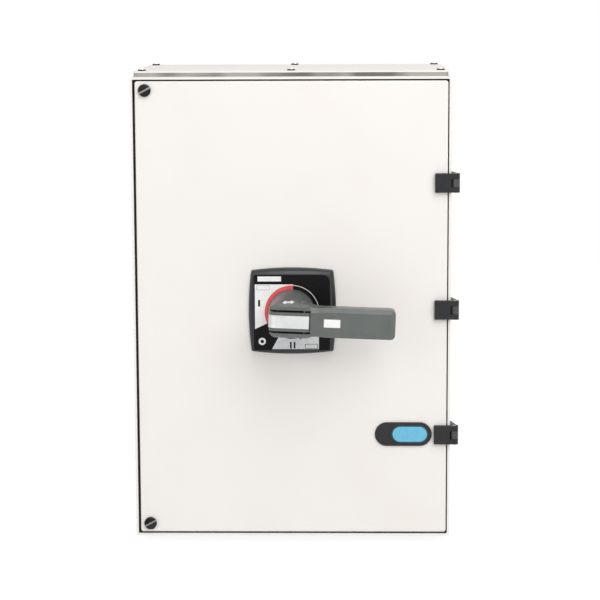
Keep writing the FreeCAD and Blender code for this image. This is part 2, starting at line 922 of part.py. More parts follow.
def make_hinge_body_leaf(centre):
    """The leaf on the side wall, with the middle knuckle."""
    pin = V(hinge_pin_x, hinge_pin_y, centre)
    half = hinge_height / 2
    middle = hinge_middle_height / 2
    near = lip_y + hinge_body_leaf_near
    far = near + hinge_body_leaf_length
    outer = half_width + hinge_body_leaf_thickness
    corners = [
        V(half_width, near, centre - half),
        V(outer, near, centre - half),
        V(half_width + hinge_body_leaf_tip, far, centre - half),
        V(half_width, far, centre - half),
    ]
    plate = prism(corners, Z_AXIS * hinge_height)
    plate = plate.makeFillet(hinge_leaf_round, edges_at(plate, lambda c: c.x > half_width + same_level))
    strap_inner = half_width + hinge_wall_clearance
    strap_back = near + hinge_leaf_round * 2
    strap_outer = outer - hinge_leaf_round
    strap = box(strap_inner, strap_outer, hinge_pin_y, strap_back, centre - middle, centre + middle)
    knuckle = rod(hinge_knuckle_radius, pin - Z_AXIS * middle, pin + Z_AXIS * middle)
    leaf = plate.fuse(strap).fuse(knuckle)
    leaf = leaf.cut(rod(hinge_pin_radius, pin - Z_AXIS * half, pin + Z_AXIS * half))
    for place in body_leaf_screw_places():
        if abs(place.z - centre) < half:
            wall = V(half_width, place.y, place.z)
            leaf = leaf.cut(rod(hinge_screw_radius, wall, wall + X_AXIS * hinge_screw_grip))
    return leaf.removeSplitter()


def make_hinge_pins():
    """Three plain steel pins, flush with the ears of the door leaves."""
    pins = []
    for centre in hinge_places:
        top = V(hinge_pin_x, hinge_pin_y, centre + hinge_height / 2)
        pins.append(rod(hinge_pin_radius, top, top - Z_AXIS * hinge_height))
    return group(pins)


def make_hinge_screws(places, direction):
    """The hidden screws of the hinge leaves, driven from inside."""
    screws = []
    length = sheet + hinge_screw_grip
    for place in places:
        screws.append(
            pan_screw(
                hinge_screw_head_radius, hinge_screw_head_height, hinge_screw_radius, length, place, direction
            )
        )
    return group(screws)


# Escutcheon and dial, in the handle's own axes: x right, y up, z out of the door


def crowned_outline(centre, width, height, bow):
    """A rectangle about a centre, with sides that bow outwards."""
    half_w = width / 2
    half_h = height / 2
    corner_x = half_w - bow
    corner_y = half_h - bow
    corners = [
        centre + V(corner_x, corner_y, 0),
        centre + V(-corner_x, corner_y, 0),
        centre + V(-corner_x, -corner_y, 0),
        centre + V(corner_x, -corner_y, 0),
    ]
    crowns = [
        centre + V(0, half_h, 0),
        centre + V(-half_w, 0, 0),
        centre + V(0, -half_h, 0),
        centre + V(half_w, 0, 0),
    ]
    sides = []
    for step in range(4):
        sides.append(Part.Arc(corners[step], crowns[step], corners[(step + 1) % 4]).toShape())
    return Part.Wire(sides)


def crowned_block(foot, face, corner_radius):
    """A block between two crowned outlines, with rounded corners."""
    block = Part.makeLoft([foot, face], True, True)
    upright = [e for e in block.Edges if abs(e.Vertexes[0].Z - e.Vertexes[-1].Z) > same_level]
    return block.makeFillet(corner_radius, upright)


def dial_outline(low, high, growth):
    """The dial plate's footprint, one corner more rounded than the others."""
    half_w = escutcheon_width / 2 - dial_margin + growth
    half_h = escutcheon_height / 2 - dial_margin + growth
    right = dial_shift + half_w
    plate = box(dial_shift - half_w, right, -half_h, half_h, low, high)
    sharp = edges_along(plate, Z_AXIS, lambda c: c.x < 0 or c.y < 0)
    plate = plate.makeFillet(dial_small_corner_radius, sharp)
    cut_corner = V(right, half_h, (low + high) / 2)
    round_one = edges_along(plate, Z_AXIS, lambda c: (c - cut_corner).Length < same_level)
    return plate.makeFillet(dial_corner_radius, round_one)


def make_flange():
    """The escutcheon's flat border, which lies on the door."""
    centre = V(escutcheon_shift, escutcheon_lift, 0)
    step = V(escutcheon_shift, escutcheon_lift, flange_depth)
    foot = crowned_outline(centre, escutcheon_width, escutcheon_height, escutcheon_bow)
    front_width = escutcheon_width - 2 * escutcheon_draft
    front_height = escutcheon_height - 2 * escutcheon_draft
    front = crowned_outline(step, front_width, front_height, escutcheon_bow)
    flange = crowned_block(foot, front, escutcheon_corner_radius)
    rim = edges_at(flange, lambda c: c.z > flange_depth - same_level)
    return flange.makeFillet(escutcheon_edge_round, rim)


def make_platform():
    """The escutcheon's sloped middle, which rises to the dial."""
    step = V(escutcheon_shift, escutcheon_lift, flange_depth)
    inset = 2 * (escutcheon_draft + flange_width)
    foot = crowned_outline(step, escutcheon_width - inset, escutcheon_height - inset, flange_step_bow)
    growth = 2 * (platform_margin + platform_bow)
    top = V(dial_shift, 0, escutcheon_depth)
    face = crowned_outline(
        top,
        escutcheon_width - 2 * dial_margin + growth,
        escutcheon_height - 2 * dial_margin + growth,
        platform_bow,
    )
    return crowned_block(foot, face, escutcheon_corner_radius)


def make_escutcheon():
    """The frame round the dial, with its bearing tube through the door."""
    body = make_flange().fuse(make_platform())
    body = body.cut(dial_outline(dial_seat, escutcheon_depth + past, seat_clearance))
    inset = 2 * (escutcheon_draft + flange_width + escutcheon_wall)
    hollow_width = escutcheon_width - inset
    hollow_height = escutcheon_height - inset
    low = V(escutcheon_shift, escutcheon_lift, 0)
    ceiling = V(escutcheon_shift, escutcheon_lift, dial_seat - escutcheon_floor)
    taper = 2 * escutcheon_hollow_draft
    hollow = crowned_block(
        crowned_outline(low, hollow_width, hollow_height, flange_step_bow),
        crowned_outline(ceiling, hollow_width - taper, hollow_height - taper, flange_step_bow),
        escutcheon_corner_radius,
    )
    body = body.cut(hollow)
    additions = [rod(bearing_tube_radius, V(0, 0, -bearing_tube_length), V(0, 0, dial_seat))]
    for place in escutcheon_screw_places():
        additions.append(rod(escutcheon_boss_radius, place, place + Z_AXIS * dial_seat))
    body = fused([body] + additions)
    bore = coupling_radius + running_clearance
    body = body.cut(rod(bore, V(0, 0, -bearing_tube_length), V(0, 0, escutcheon_depth)))
    for place in escutcheon_screw_places():
        body = body.cut(rod(escutcheon_screw_radius, place, place + Z_AXIS * escutcheon_screw_grip))
    return on_door(body)


def make_escutcheon_screws():
    """Four screws from inside the door into the escutcheon's bosses."""
    screws = []
    for place in escutcheon_screw_places():
        seat = place - Z_AXIS * door_sheet
        screws.append(
            pan_screw(
                escutcheon_screw_head_radius,
                escutcheon_screw_head_height,
                escutcheon_screw_radius,
                escutcheon_screw_grip + door_sheet,
                seat,
                Z_AXIS,
            )
        )
    return on_door(group(screws))


def make_dial_plate():
    """The printed plate in the escutcheon's recess."""
    plate = dial_outline(dial_seat, dial_face, 0)
    return on_door(plate.cut(rod(dial_hole_radius, V(0, 0, 0), V(0, 0, escutcheon_depth))))


# Handle, in the same axes


def turned_at_rest(shape):
    """Turn a shape of the handle to where it stands in the I position."""
    turned = shape.copy()
    turned.rotate(ORIGIN, Z_AXIS, handle_turn_at_rest)
    return turned


def hub_section(left, right, half_width_here, corner, level):
    """A closed section of the hub: eight edges, four sides and four round corners."""
    edges = []
    diagonal = corner * (1 - math.sqrt(0.5))
    corners = (
        (right, half_width_here, -1, -1),
        (-left, half_width_here, 1, -1),
        (-left, -half_width_here, 1, 1),
        (right, -half_width_here, -1, 1),
    )
    arcs = []
    for index, (x, y, inward_x, inward_y) in enumerate(corners):
        along_x = V(x + inward_x * corner, y, level)
        along_y = V(x, y + inward_y * corner, level)
        middle = V(x + inward_x * diagonal, y + inward_y * diagonal, level)
        if index % 2 == 0:
            arcs.append((along_y, middle, along_x))
        else:
            arcs.append((along_x, middle, along_y))
    for index, (start, middle, end) in enumerate(arcs):
        edges.append(Part.Arc(start, middle, end).toShape())
        following = arcs[(index + 1) % 4][0]
        edges.append(Part.LineSegment(end, following).toShape())
    return Part.Wire(edges)


def hub_sections():
    """The hub's sections from its round foot to the flat ridge."""
    foot_corner = hub_foot_radius - hub_side_flat / 2
    foot = hub_section(hub_foot_radius, hub_foot_radius, hub_foot_radius, foot_corner, hub_foot)
    waist_corner = hub_waist_half_width - hub_waist_flat / 2
    waist_length = hub_waist_length
    waist = hub_section(waist_length, waist_length, hub_waist_half_width, waist_corner, hub_waist_height)
    shoulder = hub_section(
        hub_top_left,
        hub_top_right,
        hub_shoulder_half_width,
        hub_shoulder_corner,
        handle_front - hub_shoulder_drop,
    )
    return foot, waist, shoulder


def make_hub():
    """The moulded hub: a round foot that rises to a flat ridge."""
    foot, waist, shoulder = hub_sections()
    top = hub_section(
        hub_top_left - hub_ridge_end_inset,
        hub_top_right - hub_ridge_end_inset,
        hub_ridge_half_width,
        hub_ridge_corner,
        handle_front,
    )
    lower = Part.makeLoft([foot, waist, shoulder], True, False)
    cap = Part.makeLoft([shoulder, top], True, True)
    return lower.fuse(cap)


def grip_outline(level, root):
    """The grip seen from the front: flared at its root, with rounded end corners."""
    half = grip_half_width
    flare = V(grip_blend_x - grip_root_x, half - root, 0)
    sag = flare.cross(Z_AXIS).normalize() * grip_flare_sag
    blend_mid_x = (grip_root_x + grip_blend_x) / 2 + sag.x
    blend_mid_y = (root + half) / 2 + sag.y
    tip = grip_reach
    turn = grip_end_radius
    diagonal = turn * (1 - math.sqrt(0.5))

    def at(x, y):
        return V(x, y, level)

    def arc(start, middle, end):
        return Part.Arc(start, middle, end).toShape()

    def line(start, end):
        return Part.LineSegment(start, end).toShape()

    edges = [
        arc(at(grip_root_x, root), at(blend_mid_x, blend_mid_y), at(grip_blend_x, half)),
        line(at(grip_blend_x, half), at(tip - turn, half)),
        arc(at(tip - turn, half), at(tip - diagonal, half - diagonal), at(tip, half - turn)),
        line(at(tip, half - turn), at(tip, -half + turn)),
        arc(at(tip, -half + turn), at(tip - diagonal, -half + diagonal), at(tip - turn, -half)),
        line(at(tip - turn, -half), at(grip_blend_x, -half)),
        arc(at(grip_blend_x, -half), at(blend_mid_x, -blend_mid_y), at(grip_root_x, -root)),
        line(at(grip_root_x, -root), at(grip_root_x, root)),
    ]
    return Part.Wire(edges)


def make_grip():
    """The grip with its bevelled front and rounded back."""
    back_line = grip_outline(grip_back, grip_root_back_half_width)
    front_line = grip_outline(handle_front, grip_root_front_half_width)
    grip = Part.makeLoft([back_line, front_line], True, True)

    def away_from_root(centre):
        return centre.x > grip_root_x + same_level

    front = edges_at(grip, lambda c: c.z > handle_front - same_level and away_from_root(c))
    grip = grip.makeChamfer(grip_bevel, front)
    back = edges_at(grip, lambda c: c.z < grip_back + same_level and away_from_root(c))
    return grip.makeFillet(grip_back_round, back)


def grip_core():
    """The moulded hollow in the grip's back, less its cross ribs."""
    half = grip_half_width - grip_core_wall
    end = grip_reach - grip_core_wall
    core = rounded_block(
        grip_core_start,
        end,
        -half,
        half,
        grip_back - past,
        grip_back + grip_core_depth,
        grip_core_corner,
        Z_AXIS,
    )
    pitch = (end - grip_core_start) / (grip_rib_count + 1)
    for step in range(1, grip_rib_count + 1):
        middle = grip_core_start + step * pitch
        low = middle - grip_rib_thickness / 2
        core = core.cut(box(low, low + grip_rib_thickness, -half, half, grip_back, handle_front))
    return core


def lever_pin_ends():
    """The two ends of the padlock lever's pin."""
    level = handle_front - lever_pin_depth
    reach = hub_ridge_half_width - lever_pin_cover
    return V(lever_pin_x, -reach, level), V(lever_pin_x, reach, level)


def lever_slot():
    """The space in the hub's ridge that the padlock lever lies and turns in."""
    half = lever_slot_half_width
    floor = handle_front - lever_slot_depth
    channel = box(-hub_foot_radius - past, lever_pin_x, -half, half, floor, handle_front + past)
    level = handle_front - lever_pin_depth
    end_radius = lever_face_sweep + lever_end_gap
    end = rod(end_radius, V(lever_pin_x, -half, level), V(lever_pin_x, half, level))
    return channel.fuse(end)


def make_handle():
    """The handle moulding: hub and grip in one piece."""
    body = fused([make_hub(), make_grip()])
    foot = V(0, 0, hub_foot)
    hollow_top = foot + Z_AXIS * hub_core_depth
    hub_hollow = tube(hub_foot_radius - hub_core_wall, hub_boss_radius, foot, hollow_top)
    socket_top = foot + Z_AXIS * (coupling_spigot_height + seat_clearance)
    socket = rod(coupling_spigot_radius + seat_clearance / 2, foot, socket_top)
    tools = [hub_hollow, grip_core(), lever_slot(), socket]
    start, end = lever_pin_ends()
    tools.append(rod(lever_pin_radius, start, end))
    body = cut_all(body, tools)
    return on_door(turned_at_rest(body))


def lever_side_profile(offset):
    """The lever's outer line seen from the side, moved outwards by an offset."""
    level = handle_front + lever_proud + offset
    nose = -lever_nose_x - offset
    radius = lever_nose_radius + offset
    diagonal = radius * (1 - math.sqrt(0.5))
    bottom = handle_front + lever_proud - lever_nose_drop
    right = lever_pin_x + lever_face_margin
    return (
        V(right, 0, level),
        V(nose + radius, 0, level),
        V(nose + diagonal, 0, level - diagonal),
        V(nose, 0, level - radius),
        V(nose, 0, bottom),
    )


def profile_edges(points):
    """A straight run, a round nose and a straight drop through five points."""
    return [
        Part.LineSegment(points[0], points[1]).toShape(),
        Part.Arc(points[1], points[2], points[3]).toShape(),
        Part.LineSegment(points[3], points[4]).toShape(),
    ]


def strip_between(outer, inner, half_width_here):
    """A bent strip between two side lines, across the handle."""
    edges = profile_edges(outer) + [Part.LineSegment(outer[4], inner[4]).toShape()]
    edges += profile_edges(inner) + [Part.LineSegment(outer[0], inner[0]).toShape()]
    wire = Part.Wire(Part.__sortEdges__(edges))
    face = Part.Face(wire)
    face.translate(V(0, -half_width_here, 0))
    return face.extrude(Y_AXIS * 2 * half_width_here)


def make_padlock_lever():
    """The lever: a bent channel with a rounded pivot end and a padlock hole."""
    skin = strip_between(lever_side_profile(0), lever_side_profile(-lever_thickness), lever_half_width)
    top = handle_front + lever_proud
    inner_left = -lever_nose_x + lever_thickness / 2
    walls = []
    for side in (-1, 1):
        inner = side * (lever_half_width - lever_side_wall)
        outer = side * lever_half_width
        low, high = min(inner, outer), max(inner, outer)
        wall = box(inner_left, lever_pin_x, low, high, top - lever_side_depth, top - lever_thickness / 2)
        walls.append(wall)
    start, end = lever_pin_ends()
    half = V(0, lever_half_width, 0)
    centre = (start + end) * 0.5
    barrel = rod(lever_end_radius, centre - half, centre + half)
    low = centre.z - lever_end_radius
    right = lever_pin_x + lever_end_reach
    block = box(lever_pin_x, right, -lever_half_width, lever_half_width, low, top)
    rounded_end = rod(lever_end_reach, centre - half, centre + half).common(block)
    lever = fused([skin, barrel, rounded_end] + walls)
    bore = rod(lever_pin_radius + running_clearance, start, end)
    eye = V(lever_hole_x, 0, top - lever_hole_depth)
    across = half + Y_AXIS * past
    padlock_hole = rod(lever_hole_radius, eye - across, eye + across)
    return on_door(turned_at_rest(cut_all(lever, [bore, padlock_hole]).removeSplitter()))


def make_lever_face():
    """The bright strip along the lever's front and over its nose."""
    strip = strip_between(
        lever_side_profile(lever_face_thickness), lever_side_profile(0), lever_face_half_width
    )
    return on_door(turned_at_rest(strip))


def make_lever_pin():
    """The pin across the hub that the lever turns on."""
    start, end = lever_pin_ends()
    return on_door(turned_at_rest(rod(lever_pin_radius, start, end)))


def make_grip_tag():
    """The blank white tag on the grip."""
    left = tag_centre_x - tag_width / 2
    tag = box(
        left, left + tag_width, -tag_height / 2, tag_height / 2, handle_front, handle_front + tag_thickness
    )
    return on_door(turned_at_rest(tag))


def make_hub_washer():
    """The bright washer between the dial and the hub."""
    start = V(0, 0, dial_face)
    end = start + Z_AXIS * washer_thickness
    return on_door(tube(washer_outer_radius, washer_inner_radius, start, end))


def socket_square(width, low, high):
    """A square bar along the handle axis."""
    half = width / 2
    return box(-half, half, -half, half, low, high)


def make_handle_coupling():
    """The metal journal in the handle, with the shaft's square socket."""
    inner_end = -coupling_inner_reach
    journal = rod(coupling_radius, V(0, 0, inner_end), V(0, 0, hub_foot))
    spigot = rod(coupling_spigot_radius, V(0, 0, hub_foot), V(0, 0, hub_foot + coupling_spigot_height))
    body = fused([journal, spigot])
    width = shaft_square + 2 * socket_clearance
    ring_level = -bearing_tube_length - running_clearance
    groove = tube(
        coupling_radius + past,
        coupling_radius - retaining_groove_depth,
        V(0, 0, ring_level - retaining_ring_thickness),
        V(0, 0, ring_level),
    )
    screw_bore = rod(handle_screw_radius, V(0, 0, inner_end), V(0, 0, hub_foot + coupling_spigot_height))
    body = cut_all(body, [socket_square(width, inner_end, inner_end + socket_depth), groove, screw_bore])
    return on_door(body)


def make_retaining_ring():
    """The open ring that keeps the coupling in the bearing tube."""
    top = -bearing_tube_length - running_clearance
    inner = coupling_radius - retaining_groove_depth
    start = V(0, 0, top - retaining_ring_thickness)
    ring = tube(inner + retaining_ring_wall, inner, start, V(0, 0, top))
    half = retaining_ring_mouth / 2
    mouth = box(-half, half, 0, coupling_radius + retaining_ring_wall, start.z, top)
    return on_door(ring.cut(mouth))


def make_handle_screw():
    """The screw inside the socket that holds the handle on its coupling."""
    seat = V(0, 0, -coupling_inner_reach + socket_depth)
    return on_door(
        pan_screw(
            handle_screw_head_radius,
            handle_screw_head_height,
            handle_screw_radius,
            handle_screw_length,
            seat,
            Z_AXIS,
        )
    )


# Rotary switch; x and z are measured from the handle axis until it is placed


def on_axis(shape):
    """Move a shape drawn round the Y axis to the height of the handle axis."""
    placed = shape.copy()
    placed.translate(V(0, 0, handle_axis_z))
    return placed


def cut_corner_square(width, corner, y):
    """The corners of a square round the Y axis whose own corners are cut off."""
    half = width / 2
    flat = half - corner
    points = []
    for side_x, side_z in ((1, 1), (-1, 1), (-1, -1), (1, -1)):
        ends = [V(side_x * half, y, side_z * flat), V(side_x * flat, y, side_z * half)]
        points += ends if side_x == side_z else ends[::-1]
    return points


def chamfered_square(width, corner, y0, y1):
    """A square block along Y with its long edges cut off."""
    return prism(cut_corner_square(width, corner, y0), Y_AXIS * (y1 - y0))


def deck_back(index):
    """The rear face of a pole deck, counted from the back."""
    return deck_start_y - index * deck_pitch


def blade_level(index):
    """The middle plane of a deck's chamber, where its blade turns."""
    return deck_back(index) - deck_floor - (deck_pitch - deck_floor) / 2


def radial_arm(angle, level, outer, growth):
    """A contact arm that points away from the shaft at an angle."""
    half = contact_arm_width / 2 + growth
    depth = contact_thickness / 2 + growth
    arm = box(contact_inner_radius - growth, outer + growth, level - depth, level + depth, -half, half)
    arm.rotate(ORIGIN, -Y_AXIS, angle)
    return arm


def terminal_slimming(level, side_box):
    """What is cut from a thick bar to leave the slim terminal outside the deck."""
    x0, x1, z0, z1 = side_box
    half = terminal_thickness / 2
    depth = contact_thickness
    return [
        box(x0, x1, level + half, level + depth, z0, z1),
        box(x0, x1, level - depth, level - half, z0, z1),
    ]


def jaw_slot(level):
    """The gap between a contact's jaws, as wide as the blade's sweep."""
    half = jaw_gap / 2
    return rod(jaw_sweep_radius, V(0, level - half, 0), V(0, level + half, 0))


def source_bar_solid(index, growth=0.0):
    """An upper source contact with its bar, grown for the seat in the deck."""
    level = blade_level(index)
    depth = contact_thickness / 2 + growth
    half = terminal_width / 2 + growth
    start = terminal_x - source_bar_overlap
    left = -terminal_x - half
    bar = box(left, left + 2 * half, level - depth, level + depth, start, terminal_reach)
    return radial_arm(135, level, contact_outer_radius, growth).fuse(bar).removeSplitter()


def make_source_bars():
    """The four upper contacts, one for each pole, with drilled terminals."""
    bars = []
    for index in range(pole_count):
        level = blade_level(index)
        bar = source_bar_solid(index).cut(jaw_slot(level))
        sides = (-terminal_x - terminal_width, -terminal_x + terminal_width)
        outside = sides + (deck_half_width, terminal_reach + past)
        bar = cut_all(bar, terminal_slimming(level, outside))
        hole = V(-terminal_x, level, terminal_reach - terminal_hole_inset)
        radius = terminal_bolt_radius + screw_hole_clearance
        bars.append(bar.cut(rod(radius, hole - Y_AXIS * deck_pitch / 2, hole + Y_AXIS * deck_pitch / 2)))
    return group(bars)


def load_bar_solid(index, growth=0.0):
    """A load contact pair with the link that joins them, grown for its seat."""
    level = blade_level(index)
    depth = contact_thickness / 2 + growth
    link = box(
        load_link_x - growth,
        load_link_x + load_link_width + growth,
        level - depth,
        level + depth,
        -load_link_half_height - growth,
        load_link_half_height + growth,
    )
    half = terminal_width / 2 + growth
    tongue = box(load_link_x, terminal_reach, level - depth, level + depth, -half, half)
    upper = radial_arm(45, level, load_arm_outer_radius, growth)
    lower = radial_arm(-45, level, load_arm_outer_radius, growth)
    return upper.fuse([lower, link, tongue]).removeSplitter()


def make_load_bars():
    """The four load contact pairs, one for each pole."""
    bars = []
    for index in range(pole_count):
        level = blade_level(index)
        bar = load_bar_solid(index).cut(jaw_slot(level))
        outside = (deck_half_width, terminal_reach + past, -terminal_width, terminal_width)
        bar = cut_all(bar, terminal_slimming(level, outside))
        hole = V(terminal_reach - terminal_hole_inset, level, 0)
        radius = terminal_bolt_radius + screw_hole_clearance
        bars.append(bar.cut(rod(radius, hole - Y_AXIS * deck_pitch / 2, hole + Y_AXIS * deck_pitch / 2)))
    return group(bars)


def tie_bolt_places():
    """The four corners where the tie bolts pass."""
    offsets = (-tie_bolt_offset, tie_bolt_offset)
    return [V(x, 0, z) for x in offsets for z in offsets]


def tie_bolt_holes(y0, y1):
    """Holes for the four tie bolts between two levels."""
    radius = tie_bolt_radius + screw_hole_clearance
    return [rod(radius, p + Y_AXIS * y0, p + Y_AXIS * y1) for p in tie_bolt_places()]


def make_pole_deck(index):
    """A moulded deck: chamber, contact seats and barriers between the terminals."""
    back = deck_back(index)
    front = back - deck_pitch
    block = chamfered_square(deck_width, deck_corner, front, back)
    fin_back = back - barrier_thickness
    side = barrier_half_width
    fins = [
        box(-terminal_x - side, -terminal_x + side, fin_back, back, 0, barrier_reach),
        box(-terminal_x - side, -terminal_x + side, fin_back, back, -barrier_reach, 0),
        box(0, barrier_reach, fin_back, back, -side, side),
    ]
    block = fused([block] + fins)
    chamber = rod(chamber_radius, V(0, back - deck_floor, 0), V(0, front, 0))
    source_seat = source_bar_solid(index, seat_clearance)
    tools = [
        chamber,
        rod(rotor_radius + seat_clearance * 2, V(0, back, 0), V(0, front, 0)),
        source_seat,
        mirrored_in_z(source_seat),
        load_bar_solid(index, seat_clearance),
    ]
    tools += tie_bolt_holes(back, front)
    return cut_all(block, tools)


def shaft_bore(width, y0, y1):
    """A square hole for the shaft."""
    half = width / 2
    return box(-half, half, y0, y1, -half, half)


def make_rotor(index):
    """The moulded rotor that carries one pole's blade on the shaft."""
    back = deck_back(index) - seat_clearance
    front = deck_back(index) - deck_pitch + seat_clearance
    drum = rod(rotor_radius, V(0, back, 0), V(0, front, 0))
    drum = drum.cut(shaft_bore(shaft_square + seat_clearance, front, back))
    return on_axis(drum.cut(blade_bar(index, seat_clearance / 2)))


def blade_bar(index, growth=0.0):
    """The flat bar of a blade, lying towards the upper source contact."""
    level = blade_level(index)
    depth = blade_thickness / 2 + growth
    half = blade_width / 2 + growth
    bar = box(-blade_half_length, blade_half_length, level - depth, level + depth, -half, half)
    bar = bar.makeFillet(blade_tip_radius, edges_along(bar, Y_AXIS))
    bar.rotate(ORIGIN, -Y_AXIS, 135)
    return bar


def make_blades():
    """The four copper blades, one for each pole."""
    blades = []
    for index in range(pole_count):
        level = blade_level(index)
        across = shaft_square + seat_clearance
        bore = shaft_bore(across, level - blade_thickness, level + blade_thickness)
        blades.append(on_axis(blade_bar(index).cut(bore)))
    return group(blades)


def make_shaft():
    """The square shaft with a tapered front end and a round rear journal."""
    tip_y = door_face_y + shaft_front_gap
    taper_y = tip_y + shaft_tip_taper
    back = deck_start_y - seat_clearance * 2
    bar = chamfered_square(shaft_square, shaft_edge, taper_y, back)
    outlines = []
    for width, y in ((shaft_square, taper_y), (shaft_tip_square, tip_y)):
        corners = cut_corner_square(width, shaft_edge, y)
        outlines.append(Part.makePolygon(corners + corners[:1]))
    taper = Part.makeLoft(outlines, True, True)
    journal_length = base_plate_thickness - shaft_end_gap
    journal = rod(shaft_journal_radius, V(0, back, 0), V(0, back + journal_length, 0))
    return on_axis(fused([bar, taper, journal]))


def make_base_plate():
    """The steel plate behind the decks that the tie bolts screw into."""
    plate = rounded_block(
        -base_plate_half_width,
        base_plate_half_width,
        deck_start_y,
        mounting_plate_front_y,
        -base_plate_half_height,
        base_plate_half_height,
        base_plate_corner,
    )
    pad = chamfered_square(deck_width, deck_corner, deck_start_y, mounting_plate_front_y)
    plate = fused([plate, pad])
    bearing = shaft_journal_radius + running_clearance
    tools = [rod(bearing, V(0, deck_start_y, 0), V(0, mounting_plate_front_y, 0))]
    for place in tie_bolt_places():
        start = place + Y_AXIS * deck_start_y
        tools.append(rod(tie_bolt_radius, start, place + Y_AXIS * mounting_plate_front_y))
    for x in (-base_screw_x, base_screw_x):
        for z in (-base_screw_z, base_screw_z):
            radius = base_screw_radius + screw_hole_clearance
            tools.append(rod(radius, V(x, deck_start_y, z), V(x, mounting_plate_front_y, z)))
    return on_axis(cut_all(plate, tools))


def make_base_screws():
    """Four screws that fix the base plate to the mounting plate."""
    length = base_plate_thickness + mounting_plate_sheet + base_screw_tail
    screws = []
    for place in base_screw_places():
        screws.append(
            pan_screw(
                base_screw_head_radius, base_screw_head_height, base_screw_radius, length, place, Y_AXIS
            )
        )
    return group(screws)


def make_drive_housing():
    """The cup of the drive mechanism, in front of the decks."""
    block = chamfered_square(drive_housing_width, deck_corner, drive_cover_y, drive_start_y)
    inner = chamfered_square(
        drive_housing_width - 2 * drive_wall - 2 * deck_corner,
        drive_inner_corner,
        drive_cover_y,
        drive_start_y - drive_wall,
    )
    opening = rod(rotor_radius, V(0, drive_cover_y, 0), V(0, drive_start_y, 0))
    return on_axis(cut_all(block, [inner, opening] + tie_bolt_holes(drive_cover_y, drive_start_y)))


def make_drive_cover():
    """The cover of the drive mechanism, with the shaft's boss."""
    plate = chamfered_square(drive_housing_width, deck_corner, drive_front_y, drive_cover_y)
    rim = edges_at(plate, lambda c: c.y < drive_front_y + same_level)
    plate = plate.makeFillet(drive_cover_round, rim)
    boss = rod(drive_boss_radius, V(0, drive_cover_y, 0), V(0, drive_front_y - drive_boss_height, 0))
    plate = fused([plate, boss])
    bore = shaft_square / math.sqrt(2) + shaft_bore_clearance
    hole = rod(bore, V(0, drive_cover_y, 0), V(0, drive_front_y - drive_boss_height, 0))
    return on_axis(cut_all(plate, [hole] + tie_bolt_holes(drive_front_y, drive_cover_y)))


def make_tie_bolts():
    """Four long bolts from the drive cover to the base plate."""
    length = mounting_plate_front_y - drive_front_y - running_clearance
    bolts = []
    for place in tie_bolt_places():
        seat = place + Y_AXIS * drive_front_y
        bolt = hex_bolt(tie_bolt_head_flats, tie_bolt_head_height, tie_bolt_radius, length, seat, Y_AXIS)
        bolts.append(bolt)
    return on_axis(group(bolts))


def terminal_hole_places(index):
    """The three terminal holes of a pole: upper source, lower source and load."""
    level = blade_level(index)
    reach = terminal_reach - terminal_hole_inset
    return [V(-terminal_x, level, reach), V(-terminal_x, level, -reach), V(reach, level, 0)]


def make_terminal_bolts():
    """The bolts of the twelve terminals."""
    bolts = []
    for index in range(pole_count):
        for place in terminal_hole_places(index):
            seat = place - Y_AXIS * terminal_thickness / 2
            bolts.append(
                hex_bolt(
                    terminal_bolt_flats,
                    terminal_bolt_head_height,
                    terminal_bolt_radius,
                    terminal_bolt_length - terminal_bolt_head_height,
                    seat,
                    Y_AXIS,
                )
            )
    return on_axis(group(bolts))


def make_terminal_nuts():
    """The nuts of the twelve terminals."""
    nuts = []
    for index in range(pole_count):
        for place in terminal_hole_places(index):
            seat = place + Y_AXIS * terminal_thickness / 2
            nut = hex_nut(terminal_bolt_flats, terminal_nut_height, terminal_bolt_radius, seat, Y_AXIS)
            nuts.append(nut)
    return on_axis(group(nuts))


# Every node of the part, by name


